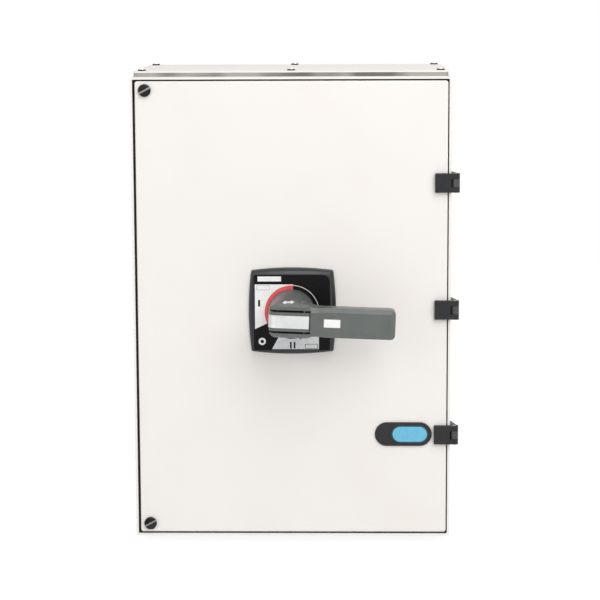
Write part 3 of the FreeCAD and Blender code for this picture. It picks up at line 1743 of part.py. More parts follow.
def build_nodes():
    """All sub-parts, each under the name of its node."""
    nodes = {"enclosure_shell": make_enclosure_shell()}
    for name, make in (("gland_gasket", make_gland_gasket), ("gland_plate", make_gland_plate)):
        nodes["top_" + name] = make(gland_front_y)
        nodes["bottom_" + name] = mirrored_in_z(make(bottom_gland_front_y))
    for name, make in (("gland_screws", make_gland_screws), ("gland_rivet_nuts", make_gland_rivet_nuts)):
        nodes[name] = group([make(gland_front_y), mirrored_in_z(make(bottom_gland_front_y))])
    nodes["mounting_plate"] = make_mounting_plate()
    nodes["stud_nuts"] = make_stud_nuts()
    nodes["earth_stud"] = make_earth_stud()
    nodes["earth_nuts"] = make_earth_nuts()

    for label, centre in zip(("top", "middle", "bottom"), hinge_places):
        nodes[label + "_hinge_door_leaf"] = make_hinge_door_leaf(centre)
        nodes[label + "_hinge_body_leaf"] = make_hinge_body_leaf(centre)
    nodes["hinge_pins"] = make_hinge_pins()
    nodes["door_leaf_screws"] = make_hinge_screws(door_leaf_screw_places(), -Y_AXIS)
    nodes["body_leaf_screws"] = make_hinge_screws(body_leaf_screw_places(), X_AXIS)

    nodes["door"] = make_door()
    nodes["door_gasket"] = make_door_gasket()
    nodes["lock_bushes"] = make_lock_bushes()
    for label, place in zip(("top", "bottom"), lock_places()):
        nodes[label + "_lock_screw"] = make_lock_screw(place)
    nodes["badge"] = make_badge()
    nodes["badge_panel"] = make_badge_panel()

    nodes["escutcheon"] = make_escutcheon()
    nodes["escutcheon_screws"] = make_escutcheon_screws()
    nodes["dial_plate"] = make_dial_plate()
    nodes["hub_washer"] = make_hub_washer()
    nodes["handle"] = make_handle()
    nodes["padlock_lever"] = make_padlock_lever()
    nodes["lever_face"] = make_lever_face()
    nodes["lever_pin"] = make_lever_pin()
    nodes["grip_tag"] = make_grip_tag()
    nodes["handle_coupling"] = make_handle_coupling()
    nodes["retaining_ring"] = make_retaining_ring()
    nodes["handle_screw"] = make_handle_screw()

    for index in range(pole_count):
        nodes["pole_deck_%d" % (index + 1)] = on_axis(make_pole_deck(index))
        nodes["rotor_%d" % (index + 1)] = make_rotor(index)
    source_bars = make_source_bars()
    nodes["source_one_bars"] = on_axis(source_bars)
    nodes["source_two_bars"] = on_axis(mirrored_in_z(source_bars))
    nodes["load_bars"] = on_axis(make_load_bars())
    nodes["moving_blades"] = make_blades()
    nodes["switch_shaft"] = make_shaft()
    nodes["base_plate"] = make_base_plate()
    nodes["base_screws"] = make_base_screws()
    nodes["drive_housing"] = make_drive_housing()
    nodes["drive_cover"] = make_drive_cover()
    nodes["tie_bolts"] = make_tie_bolts()
    nodes["terminal_bolts"] = make_terminal_bolts()
    nodes["terminal_nuts"] = make_terminal_nuts()
    return nodes


os.makedirs("parts", exist_ok=True)
for node_name, node_shape in build_nodes().items():
    if not node_shape.isValid():
        raise ValueError("invalid shape: " + node_name)
    node_shape.exportStep("parts/" + node_name + ".step")
    print(node_name, len(node_shape.Solids), round(node_shape.Volume, 1))
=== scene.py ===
"""The looks of a manual changeover switch in its wall-mounted sheet-steel enclosure."""
import json
import logging
import math
from collections.abc import Sequence
from dataclasses import dataclass
from enum import Enum

import bmesh
import bpy
from mathutils import Matrix, Vector
from mathutils.bvhtree import BVHTree


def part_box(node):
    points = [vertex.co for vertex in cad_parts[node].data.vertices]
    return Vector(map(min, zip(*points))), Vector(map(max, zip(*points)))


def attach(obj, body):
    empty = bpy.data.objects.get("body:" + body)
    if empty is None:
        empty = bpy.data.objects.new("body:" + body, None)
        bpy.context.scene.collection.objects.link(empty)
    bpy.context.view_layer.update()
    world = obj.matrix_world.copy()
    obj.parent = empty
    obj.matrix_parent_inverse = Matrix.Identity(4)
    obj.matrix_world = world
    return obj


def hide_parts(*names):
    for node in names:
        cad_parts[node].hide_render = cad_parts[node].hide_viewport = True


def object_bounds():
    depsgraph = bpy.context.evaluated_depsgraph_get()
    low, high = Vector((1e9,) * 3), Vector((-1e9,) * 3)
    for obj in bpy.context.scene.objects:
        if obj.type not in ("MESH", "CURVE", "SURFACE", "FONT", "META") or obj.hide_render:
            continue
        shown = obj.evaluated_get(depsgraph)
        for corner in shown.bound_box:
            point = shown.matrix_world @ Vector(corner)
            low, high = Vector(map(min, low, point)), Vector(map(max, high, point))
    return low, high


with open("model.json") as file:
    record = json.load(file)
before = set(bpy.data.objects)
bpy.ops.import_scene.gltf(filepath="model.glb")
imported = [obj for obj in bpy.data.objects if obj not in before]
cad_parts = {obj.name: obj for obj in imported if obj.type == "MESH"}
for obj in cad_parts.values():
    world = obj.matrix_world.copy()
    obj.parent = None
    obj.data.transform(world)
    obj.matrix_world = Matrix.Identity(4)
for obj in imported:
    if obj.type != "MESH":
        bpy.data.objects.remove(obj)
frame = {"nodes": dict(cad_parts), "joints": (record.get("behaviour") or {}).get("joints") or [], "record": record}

CAD_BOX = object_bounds()
MM = 0.001
LOG = logging.getLogger("changeover_switch")
MERGE_DISTANCE = 1e-6
# Edges that bend more than this stay sharp, and get a bevel on softened pieces
SHARP_ANGLE = math.radians(32)
# Facets of the frame's meshes that lean less than this are one flat face
FLAT_ANGLE = math.radians(0.4)
BEVEL_STEPS = 2
# Heights nearer than this are one level
SAME_LEVEL = 0.01 * MM
# The points round a cross recess, and so the steps of a turned screw
CROSS_POINTS = 24
# Stands a drawing, x right and y up, upright before the door
UPRIGHT = Matrix.Rotation(math.radians(90), 4, "X")
AXIS_Z = (0.0, 0.0, 1.0)
Point = tuple[float, float]
Box = tuple[Point, Point]


def linear(code: str) -> tuple[float, float, float, float]:
    """Turn an sRGB hex colour into linear values.

    Args:
        code: The colour as #RRGGBB.

    Returns:
        Red, green, blue and alpha, in linear light.
    """
    values = [int(code[start:start + 2], 16) / 255 for start in (1, 3, 5)]
    red, green, blue = (v / 12.92 if v <= 0.04045 else ((v + 0.055) / 1.055) ** 2.4 for v in values)
    return red, green, blue, 1.0


def add_node(
    tree: bpy.types.NodeTree,
    kind: str,
    settings: dict[str | int, object] | None = None,
    links: dict[str | int, bpy.types.NodeSocket] | None = None,
) -> bpy.types.Node:
    """Add a node with its settings and links.

    Args:
        tree: The node tree that takes the node.
        kind: The node's type.
        settings: Values by the name of a property, or by the name or number of an input.
        links: The sockets that feed the node's inputs, by name or number.

    Returns:
        The new node.
    """
    node = tree.nodes.new(kind)
    for key, value in (settings or {}).items():
        if isinstance(key, int) or key in node.inputs:
            node.inputs[key].default_value = value
        else:
            setattr(node, key, value)
    for key, source in (links or {}).items():
        tree.links.new(source, node.inputs[key])
    return node


class Texture(Enum):
    """What a pattern draws: the node that computes it, and that node's output."""

    CLOUDS = ("ShaderNodeTexNoise", "Fac")
    CELLS = ("ShaderNodeTexVoronoi", "Distance")


@dataclass(frozen=True)
class Pattern:
    """A pattern computed from each point's place on the piece.

    Attributes:
        size: The size of what it draws, in millimetres.
        texture: What it draws.
        detail: How many finer layers its clouds have.
        distortion: How far its clouds are swirled.
        stretch: How it is squeezed along X, Y and Z, so that it draws lines.
        turn: The turn of the lines about X, Y and Z, in radians.
    """

    size: float
    texture: Texture = Texture.CLOUDS
    detail: float = 2.0
    distortion: float = 0.0
    stretch: tuple[float, float, float] | None = None
    turn: tuple[float, float, float] = (0.0, 0.0, 0.0)

    def draw(self, tree: bpy.types.NodeTree, place: bpy.types.NodeSocket) -> bpy.types.NodeSocket:
        """Add the pattern's nodes.

        Args:
            tree: The material's nodes.
            place: The socket that gives each point's place.

        Returns:
            The socket that gives the pattern, from 0 to 1.
        """
        if self.stretch is not None:
            laid = {"Rotation": self.turn, "Scale": self.stretch}
            place = add_node(tree, "ShaderNodeMapping", laid, {"Vector": place}).outputs["Vector"]
        settings = {"Scale": 1 / (self.size * MM)}
        if self.texture is Texture.CLOUDS:
            settings |= {"Detail": self.detail, "Distortion": self.distortion}
        kind, output = self.texture.value
        return add_node(tree, kind, settings, {"Vector": place}).outputs[output]


@dataclass(frozen=True)
class Finish:
    """What every finish shares.

    Attributes:
        name: The real material's name, with how it was made or its colour.
        colour: Its main colour, as #RRGGBB.
        roughness: How matt it is, from 0 to 1.
        second: The colour that its shades go towards.
        specular: How strongly it mirrors the studio, where 0.5 is a common plastic.
        metallic: 1 for a bare metal, or else 0.
        shades: The pattern of its two colours.
        window: That pattern's values where the second colour starts and where it is full.
        bumps: The pattern of its relief, or None for a flat print.
        depth: The relief's depth, in millimetres.
        spread: How far the roughness goes each way with the relief.
    """

    name: str
    colour: str
    roughness: float
    second: str
    specular: float = 0.5
    metallic: float = 0.0
    shades: Pattern = Pattern(20.0)
    window: tuple[float, float] = (0.35, 0.65)
    bumps: Pattern | None = None
    depth: float = 0.0
    spread: float = 0.0

    def material(self) -> bpy.types.Material:
        """Return the material, made once for each finish.

        Returns:
            The material, new or known.
        """
        known = bpy.data.materials.get(self.name)
        if known is not None:
            return known
        made = bpy.data.materials.new(self.name)
        made.use_nodes = True
        tree = made.node_tree
        tree.nodes.clear()
        settings = {
            "Base Color": linear(self.colour),
            "Roughness": self.roughness,
            "Metallic": self.metallic,
            "Specular IOR Level": self.specular,
        }
        shader = add_node(tree, "ShaderNodeBsdfPrincipled", settings)
        add_node(tree, "ShaderNodeOutputMaterial", links={"Surface": shader.outputs["BSDF"]})
        self.lay_patterns(tree, shader)
        return made

    def lay_patterns(self, tree: bpy.types.NodeTree, shader: bpy.types.Node) -> None:
        """Let the patterns give the shader's colour, relief and gloss.

        Args:
            tree: The material's nodes.
            shader: The shader that takes them.
        """
        place = add_node(tree, "ShaderNodeTexCoord").outputs["Object"]
        limits = {"From Min": self.window[0], "From Max": self.window[1]}
        shades = {"Value": self.shades.draw(tree, place)}
        share = add_node(tree, "ShaderNodeMapRange", limits, shades).outputs["Result"]
        ends = {"data_type": "RGBA", 6: linear(self.colour), 7: linear(self.second)}
        blend = add_node(tree, "ShaderNodeMix", ends, {0: share})
        tree.links.new(blend.outputs[2], shader.inputs["Base Color"])
        if self.bumps is None:
            return
        height = self.bumps.draw(tree, place)
        relief = {"Strength": 1.0, "Distance": self.depth * MM}
        bump = add_node(tree, "ShaderNodeBump", relief, {"Height": height})
        tree.links.new(bump.outputs["Normal"], shader.inputs["Normal"])
        if self.spread:
            ends = {"To Min": self.roughness - self.spread, "To Max": self.roughness + self.spread}
            gloss = add_node(tree, "ShaderNodeMapRange", ends, {"Value": height})
            tree.links.new(gloss.outputs["Result"], shader.inputs["Roughness"])


@dataclass(frozen=True)
class PowderCoat(Finish):
    """Baked polyester powder on steel: an even coat with a faint orange peel.

    The peel's real bumps are about 1 mm wide, and are drawn coarser to show.
    """

    shades: Pattern = Pattern(95.0)
    bumps: Pattern | None = Pattern(2.4, detail=1.0)
    depth: float = 0.03
    spread: float = 0.05


@dataclass(frozen=True)
class MouldedPlastic(Finish):
    """Moulded plastic, shaded by the melt's flow, with the spark-eroded grain of its tool.

    The real grain is about 0.1 mm wide, and is drawn coarser to show.
    """

    shades: Pattern = Pattern(22.0, detail=3.0, distortion=0.8)
    bumps: Pattern | None = Pattern(0.45)
    depth: float = 0.012
    spread: float = 0.08


@dataclass(frozen=True)
class CellularRubber(Finish):
    """Foam rubber cut from sheet, darker where it is squeezed and its cells are shut."""

    shades: Pattern = Pattern(55.0, detail=1.0)
    window: tuple[float, float] = (0.4, 0.6)
    bumps: Pattern | None = Pattern(0.9, Texture.CELLS)
    depth: float = 0.12


@dataclass(frozen=True)
class WorkedMetal(Finish):
    """Bare or plated metal, patchy, with the fine lines of how it was worked.

    The real lines are finer than 0.1 mm, and are drawn coarser to show.
    """

    metallic: float = 1.0
    shades: Pattern = Pattern(14.0, detail=4.0)
    bumps: Pattern | None = Pattern(0.35, stretch=(0.05, 1.0, 1.0))
    depth: float = 0.006
    spread: float = 0.1


@dataclass(frozen=True)
class Thermoset(Finish):
    """Compression-moulded polyester compound: swirled, with glass fibres at its face."""

    shades: Pattern = Pattern(30.0, detail=4.0, distortion=2.2)
    bumps: Pattern | None = Pattern(
        2.2, Texture.CELLS, stretch=(0.12, 1.0, 1.0), turn=(0.4, 0.7, 0.2)
    )
    depth: float = 0.02
    spread: float = 0.08


@dataclass(frozen=True)
class PrintedFilm(Finish):
    """A flat print under a clear film: uneven ink, and the film's faint waviness."""

    shades: Pattern = Pattern(6.0)
    bumps: Pattern | None = Pattern(6.0)
    depth: float = 0.01


@dataclass(frozen=True)
class SpeckledFilm(Finish):
    """A print screened in fine dots, which reads as a sparkling light grey."""

    shades: Pattern = Pattern(0.55, Texture.CELLS)
    window: tuple[float, float] = (0.22, 0.4)


# Lines along Z, as the drawn bar has that fasteners are made from
BAR_LINES = Pattern(0.3, stretch=(1.0, 1.0, 0.08))
# Warm off-white with a soft sheen: broad, even and too dull to show a lamp's outline
COAT = PowderCoat("powder_coated_steel", "#F4F1ED", 0.6, "#F3EEE9", specular=0.25)
# Grey and dull: painted shade in the gutter behind the lip, so that the gaps round the door read dark
GAP_SHADE_COAT = PowderCoat("powder_coat_painted_gap_shade", "#8A8781", 0.6, "#7C7973")
# Light grey foam with darker stretches, quite without gloss
FOAM = CellularRubber("cellular_rubber_grey", "#A9A8A1", 0.95, "#706D67")
# Black foam, soft and without gloss
SEAL = CellularRubber("cellular_rubber_black", "#2A2A2A", 0.95, "#171717")
# Dense black rubber for the sealing washers; its dull dark line under a bright screw is also painted shade under
# the head
RUBBER = MouldedPlastic("nitrile_washer_with_painted_shade", "#1A1A1A", 0.7, "#121212", specular=0.2)
# Dark grey with blacker clouds, and the satin glint of a blackened pin
BLACK_STEEL = WorkedMetal("blackened_steel", "#5A5A58", 0.34, "#343433", bumps=BAR_LINES)
# Cool, bright and a little cloudy, as plated sheet and fasteners are
ZINC = WorkedMetal("zinc_plated_steel", "#C9CCCE", 0.34, "#B7BBBF")
# Near white and bright: it mirrors the studio, so that a screw head shines
NICKEL = WorkedMetal("nickel_plated_steel", "#E6E5E1", 0.3, "#D9D7D2", bumps=BAR_LINES)
# Almost black, with an oily satin glint at the edges
LOCK_STEEL = WorkedMetal("oil_blackened_steel", "#3C3C3B", 0.36, "#242423", bumps=BAR_LINES)
# Bright steel colour: a painted highlight on the floor of a lock screw's slot
SLOT_HIGHLIGHT_STEEL = WorkedMetal(
    "steel_painted_slot_highlight", "#B4B3AF", 0.38, "#8F8E8A", bumps=Pattern(0.25, stretch=(0.05, 1.0, 1.0))
)
# Warm yellow with fine lines along Y, as a stud's drawn bar has
BRASS = WorkedMetal(
    "turned_brass", "#CDAA62", 0.3, "#B8924C", bumps=Pattern(0.25, stretch=(1.0, 0.06, 1.0))
)
# Salmon pink with long rolling lines along X and duller, browner stretches
COPPER = WorkedMetal(
    "rolled_copper", "#D39B7A", 0.32, "#B97C5B", bumps=Pattern(0.4, stretch=(0.05, 1.0, 1.0))
)
# Pale silver with a broad, soft gleam and hair lines across the lever
LEVER_FILM = WorkedMetal(
    "satin_aluminium",
    "#D8DBDA",
    0.45,
    "#D0D3D2",
    bumps=Pattern(0.4, stretch=(1.0, 1.0, 0.06)),
    depth=0.004,
)
# Near black, with a dry, finely grained face
BLACK_NYLON = MouldedPlastic("glass_filled_nylon", "#242426", 0.46, "#1D1D1F", specular=0.35)
# The same nylon, painted lighter grey as a highlight on the body's hinge leaves
LIT_LEAF_NYLON = MouldedPlastic("glass_filled_nylon_painted_highlight", "#474749", 0.44, "#3D3D3F")
# Milky white and waxy, as undyed nylon is
WHITE_NYLON = MouldedPlastic("natural_nylon", "#DDDACF", 0.5, "#D3CFC2")
# Dark grey and smooth, so that its sloped rim catches light lines
ESCUTCHEON_ABS = MouldedPlastic("abs_dark_grey", "#25272A", 0.3, "#202224", specular=0.6)
# Mid grey with a green tinge, satin, so that bevels and shoulders turn clearly
HANDLE_NYLON = MouldedPlastic("nylon_mid_grey", "#5D625F", 0.34, "#565B58", specular=0.65)
# Charcoal, satin, plainer than the escutcheon
BADGE_ABS = MouldedPlastic("abs_charcoal", "#2A2A2B", 0.36, "#242425", specular=0.3)
# Red-brown with darker swirls and a fibrous skin
DECK_COMPOUND = Thermoset("polyester_moulding_compound", "#8A4A38", 0.45, "#6E3528")
# Black and even, with a slight shine
ROTOR_COMPOUND = MouldedPlastic("phenolic_moulding", "#2C2C2D", 0.42, "#222223")
# Flat printed inks under a film: even colour, with a shine that ripples a little
WHITE_INK = PrintedFilm("polyester_film_white", "#F7F7F6", 0.32, "#F2F2F1")
BLACK_INK = PrintedFilm("polyester_film_black", "#141415", 0.4, "#101011", specular=0.12)
RED_INK = PrintedFilm("polyester_film_red", "#EA5E62", 0.32, "#E1565B")
BLUE_INK = PrintedFilm("polyester_film_blue", "#6FC0DF", 0.25, "#67B9DA")
TEAL_INK = PrintedFilm("polyester_film_teal", "#14465A", 0.3, "#103D4F")
GREY_INK = PrintedFilm("polyester_film_grey", "#A9ABAC", 0.32, "#A2A4A5")
# White dots on grey, each too small to tell apart, which sparkle together
DOT_INK = SpeckledFilm("polyester_film_dotted", "#A2A3A7", 0.35, "#EEEEF0")


class Body(Enum):
    """The bodies of the frame that new pieces ride on."""

    ENCLOSURE = "enclosure"
    DOOR = "door"
    HANDLE = "handle"
    LEVER = "padlock_lever"
    TOP_LOCK = "top_lock"
    BOTTOM_LOCK = "bottom_lock"


def joint_place(name: str) -> Vector:
    """Return where a joint's axis passes, in metres."""
    found = next(joint for joint in frame["joints"] if joint["name"] == name)
    return Vector(found["pos_m"])


def dress(finish: Finish, *names: str) -> None:
    """Give nodes of the frame a finish.

    Args:
        finish: The finish.
        names: The nodes that take it.
    """
    for name in names:
        slots = frame["nodes"][name].data.materials
        for index in range(len(slots)):
            slots[index] = finish.material()
        if not slots:
            slots.append(finish.material())
        LOG.info("%s has %s", name, finish.name)


def shade_by_angle(bm: bmesh.types.BMesh) -> None:
    """Smooth the faces of a mesh, with its sharp edges kept.

    Args:
        bm: The mesh under work.
    """
    for face in bm.faces:
        face.smooth = True
    for edge in bm.edges:
        edge.smooth = len(edge.link_faces) == 2 and edge.calc_face_angle(0.0) < SHARP_ANGLE


def finish_piece(
    bm: bmesh.types.BMesh, name: str, body: Body, finish: Finish, outward: bool = True
) -> bpy.types.Object:
    """Turn a bmesh into a finished piece that rides on a body.

    Args:
        bm: The mesh under work, in metres, which is freed.
        name: The piece's name.
        body: The body that carries it.
        finish: Its finish.
        outward: Whether the faces are turned outwards here.

    Returns:
        The new object.
    """
    if outward:
        bmesh.ops.remove_doubles(bm, verts=bm.verts[:], dist=MERGE_DISTANCE)
        bmesh.ops.recalc_face_normals(bm, faces=bm.faces[:])
    shade_by_angle(bm)
    mesh = bpy.data.meshes.new(name)
    bm.to_mesh(mesh)
    bm.free()
    mesh.materials.append(finish.material())
    piece = bpy.data.objects.new(name, mesh)
    bpy.context.scene.collection.objects.link(piece)
    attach(piece, body.value)
    LOG.info("%s rides on %s", name, body.value)
    return piece


def softened_copy(node: str, width: float, finish: Finish) -> bpy.types.Object:
    """Stand a merged copy with softened edges in for a node of the frame.

    Args:
        node: The node's name.
        width: The bevel's width, in millimetres.
        finish: Its finish.

    Returns:
        The new object.
    """
    bm = bmesh.new()
    bm.from_mesh(frame["nodes"][node].data)
    bmesh.ops.remove_doubles(bm, verts=bm.verts[:], dist=MERGE_DISTANCE)
    bmesh.ops.dissolve_limit(
        bm, angle_limit=FLAT_ANGLE, verts=bm.verts[:], edges=bm.edges[:], delimit={"NORMAL"}
    )
    record = frame["record"]
    bodies = record["behaviour"]["bodies"]
    body = next(Body(name) for name, members in bodies.items() if node in members)
    piece = finish_piece(bm, node + "_soft", body, finish, outward=False)
    bevel = piece.modifiers.new("edges", "BEVEL")
    bevel.width = width * MM
    bevel.segments = BEVEL_STEPS
    bevel.limit_method = "ANGLE"
    bevel.angle_limit = SHARP_ANGLE
    bevel.harden_normals = True
    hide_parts(node)
    return piece


def recoat(piece: bpy.types.Object, finish: Finish, start: float, end: float) -> None:
    """Give a second finish to the faces of a piece that lie between two depths.

    Args:
        piece: The piece.
        finish: Its second finish.
        start: The Y beyond which it starts, in metres.
        end: The Y before which it ends, in metres.
    """
    piece.data.materials.append(finish.material())
    for polygon in piece.data.polygons:
        if start < polygon.center.y < end:
            polygon.material_index = 1


def flat_outline(points: Sequence[Point]) -> bmesh.types.BMesh:
    """Fill an outline with one face.

    Args:
        points: Its corners in order, x right and y up, in millimetres.

    Returns:
        A mesh with the face, whose normal is up to date.
    """
    bm = bmesh.new()
    corners = [bm.verts.new((x * MM, y * MM, 0.0)) for x, y in points]
    bm.faces.new(corners)
    bm.normal_update()
    return bm


def rectangle(box: Box) -> bmesh.types.BMesh:
    """Fill the rectangle between two opposite corners with one face."""
    (left, low), (right, high) = box
    return flat_outline([(left, low), (right, low), (right, high), (left, high)])


def arc_points(radius: float, start: float, end: float, steps: int) -> list[Point]:
    """Return points along an arc round the origin, angles in degrees."""
    turns = [math.radians(start + (end - start) * step / steps) for step in range(steps + 1)]
    return [(radius * math.cos(turn), radius * math.sin(turn)) for turn in turns]


def thicken(bm: bmesh.types.BMesh, height: float) -> None:
    """Extrude every face along +Z, to a closed plate.

    Args:
        bm: The flat mesh.
        height: How far, in millimetres.
    """
    raised = bmesh.ops.extrude_face_region(bm, geom=bm.faces[:], use_keep_orig=True)
    moved = [part for part in raised["geom"] if isinstance(part, bmesh.types.BMVert)]
    bmesh.ops.translate(bm, verts=moved, vec=(0.0, 0.0, height * MM))


def loose_boxes(node: str) -> list[tuple[Vector, Vector]]:
    """Find the loose parts of a node's mesh.

    Args:
        node: The node's name.

    Returns:
        The lowest and highest corners of each part, in metres, in the order of the mesh.
    """
    bm = bmesh.new()
    bm.from_mesh(frame["nodes"][node].data)
    bmesh.ops.remove_doubles(bm, verts=bm.verts[:], dist=MERGE_DISTANCE)
    known = set()
    boxes = []
    for first in bm.verts:
        if first in known:
            continue
        group, front = {first}, [first]
        while front:
            vertex = front.pop()
            others = {edge.other_vert(vertex) for edge in vertex.link_edges} - group
            group |= others
            front += others
        known |= group
        spans = [[vertex.co[axis] for vertex in group] for axis in range(3)]
        boxes.append((Vector(map(min, spans)), Vector(map(max, spans))))
    bm.free()
    return boxes


def turned(profile: Sequence[Point], steps: int) -> bmesh.types.BMesh:
    """Spin a profile round the Z axis, as on a lathe.

    Args:
        profile: Radius and height of each point, in millimetres, none on the axis.
        steps: The steps of the full turn.

    Returns:
        The turned surface, open where the profile's ends leave a ring.
    """
    bm = bmesh.new()
    line = [bm.verts.new((radius * MM, 0.0, height * MM)) for radius, height in profile]
    edges = [bm.edges.new(pair) for pair in zip(line, line[1:])]
    bmesh.ops.spin(
        bm,
        geom=[*line, *edges],
        cent=(0.0, 0.0, 0.0),
        axis=AXIS_Z,
        angle=math.tau,
        steps=steps,
        use_merge=True,
    )
    return bm


def ring_at(bm: bmesh.types.BMesh, height: float) -> list[bmesh.types.BMEdge]:
    """Find the open edges of a turned surface at a height in millimetres."""
    level = height * MM
    return [
        edge
        for edge in bm.edges
        if edge.is_boundary
        and all(abs(vertex.co.z - level) < SAME_LEVEL for vertex in edge.verts)
    ]


@dataclass
class PanScrew:
    """A cross-recessed pan-head screw on a sealing washer, in millimetres, head upwards.

    Attributes:
        washer_radius: The radius of the sealing washer.
        head_height: The head's height over its seat, with the washer.
        thread_radius: The thread's outer radius.
        length: The length under the head.
        recess: How far the recess's arms reach from the centre.
        recess_depth: The recess's depth.
        recess_taper: The size of the recess's floor, as a share of its mouth.
        pitch: The thread's pitch.
        thread_depth: The depth of its grooves.
        washer: The washer's thickness.
        head_share: The head's radius as a share of the washer's.
    """

    washer_radius: float
    head_height: float
    thread_radius: float
    length: float
    recess: float = 2.1
    recess_depth: float = 1.1
    recess_taper: float = 0.55
    pitch: float = 1.0
    thread_depth: float = 0.35
    washer: float = 1.7
    head_share: float = 0.8

    def cross_point(self, step: int) -> Point:
        """Return a point of the cross recess, whose arms are 0.3 times as wide as it is long.

        Args:
            step: The point's number, anticlockwise from the right.

        Returns:
            The point, in millimetres from the centre.
        """
        arm = self.recess
        wide, waist = arm * 0.3, arm * 0.6
        quarter = [(arm, 0.0), (arm, wide), (waist, wide), (wide, wide), (wide, waist), (wide, arm)]
        x, y = quarter[step % len(quarter)]
        for _ in range(step // len(quarter)):
            x, y = -y, x
        return x, y

    def profile(self) -> list[Point]:
        """Return radius and height from the tip of the thread to the mouth of the recess.

        Returns:
            The points, in millimetres, with the seat at zero height.
        """
        rolled = []
        for turn in range(int(self.length / self.pitch)):
            rolled.append((self.thread_radius, -self.pitch * (turn + 0.5)))
            rolled.append((self.thread_radius - self.thread_depth, -self.pitch * (turn + 1.0)))
        rolled.reverse()
        outer, washer, top = self.washer_radius, self.washer, self.head_height
        # The washer's lips are rounded, and the crown bends in twice to its flat top
        seal = [(outer * 0.96, 0.0), (outer, 0.15), (outer, washer - 0.3), (outer * 0.95, washer)]
        radius, rise = outer * self.head_share, top - washer
        crown = [(radius, washer), (radius, washer + rise * 0.4)]
        crown += [(radius * 0.92, washer + rise * 0.8), (radius * 0.75, top)]
        return [*rolled, (self.thread_radius, 0.0), *seal, *crown, (self.recess, top)]

    def sink_recess(self, bm: bmesh.types.BMesh) -> None:
        """Bend the head's open rim to a cross and sink it.

        Args:
            bm: The turned screw.
        """
        rim = ring_at(bm, self.head_height)
        for vertex in {vertex for edge in rim for vertex in edge.verts}:
            turn = math.atan2(vertex.co.y, vertex.co.x) / math.tau
            point = self.cross_point(round(turn * CROSS_POINTS) % CROSS_POINTS)
            vertex.co.xy = [value * MM for value in point]
        sunk = bmesh.ops.extrude_edge_only(bm, edges=rim)["geom"]
        floor = [part for part in sunk if isinstance(part, bmesh.types.BMVert)]
        ring = [part for part in sunk if isinstance(part, bmesh.types.BMEdge)]
        bmesh.ops.scale(bm, verts=floor, vec=(self.recess_taper, self.recess_taper, 1.0))
        bmesh.ops.translate(bm, verts=floor, vec=(0.0, 0.0, -self.recess_depth * MM))
        bmesh.ops.holes_fill(bm, edges=ring)

    def mesh(self) -> bmesh.types.BMesh:
        """Build the screw, with its seat at zero height.

        Returns:
            The closed mesh. The washer's faces have material index 1.
        """
        profile = self.profile()
        bm = turned(profile, CROSS_POINTS)
        bmesh.ops.holes_fill(bm, edges=ring_at(bm, profile[0][1]))
        self.sink_recess(bm)
        for face in bm.faces:
            if -SAME_LEVEL < face.calc_center_median().z < self.washer * MM:
                face.material_index = 1
        bmesh.ops.recalc_face_normals(bm, faces=bm.faces[:])
        return bm


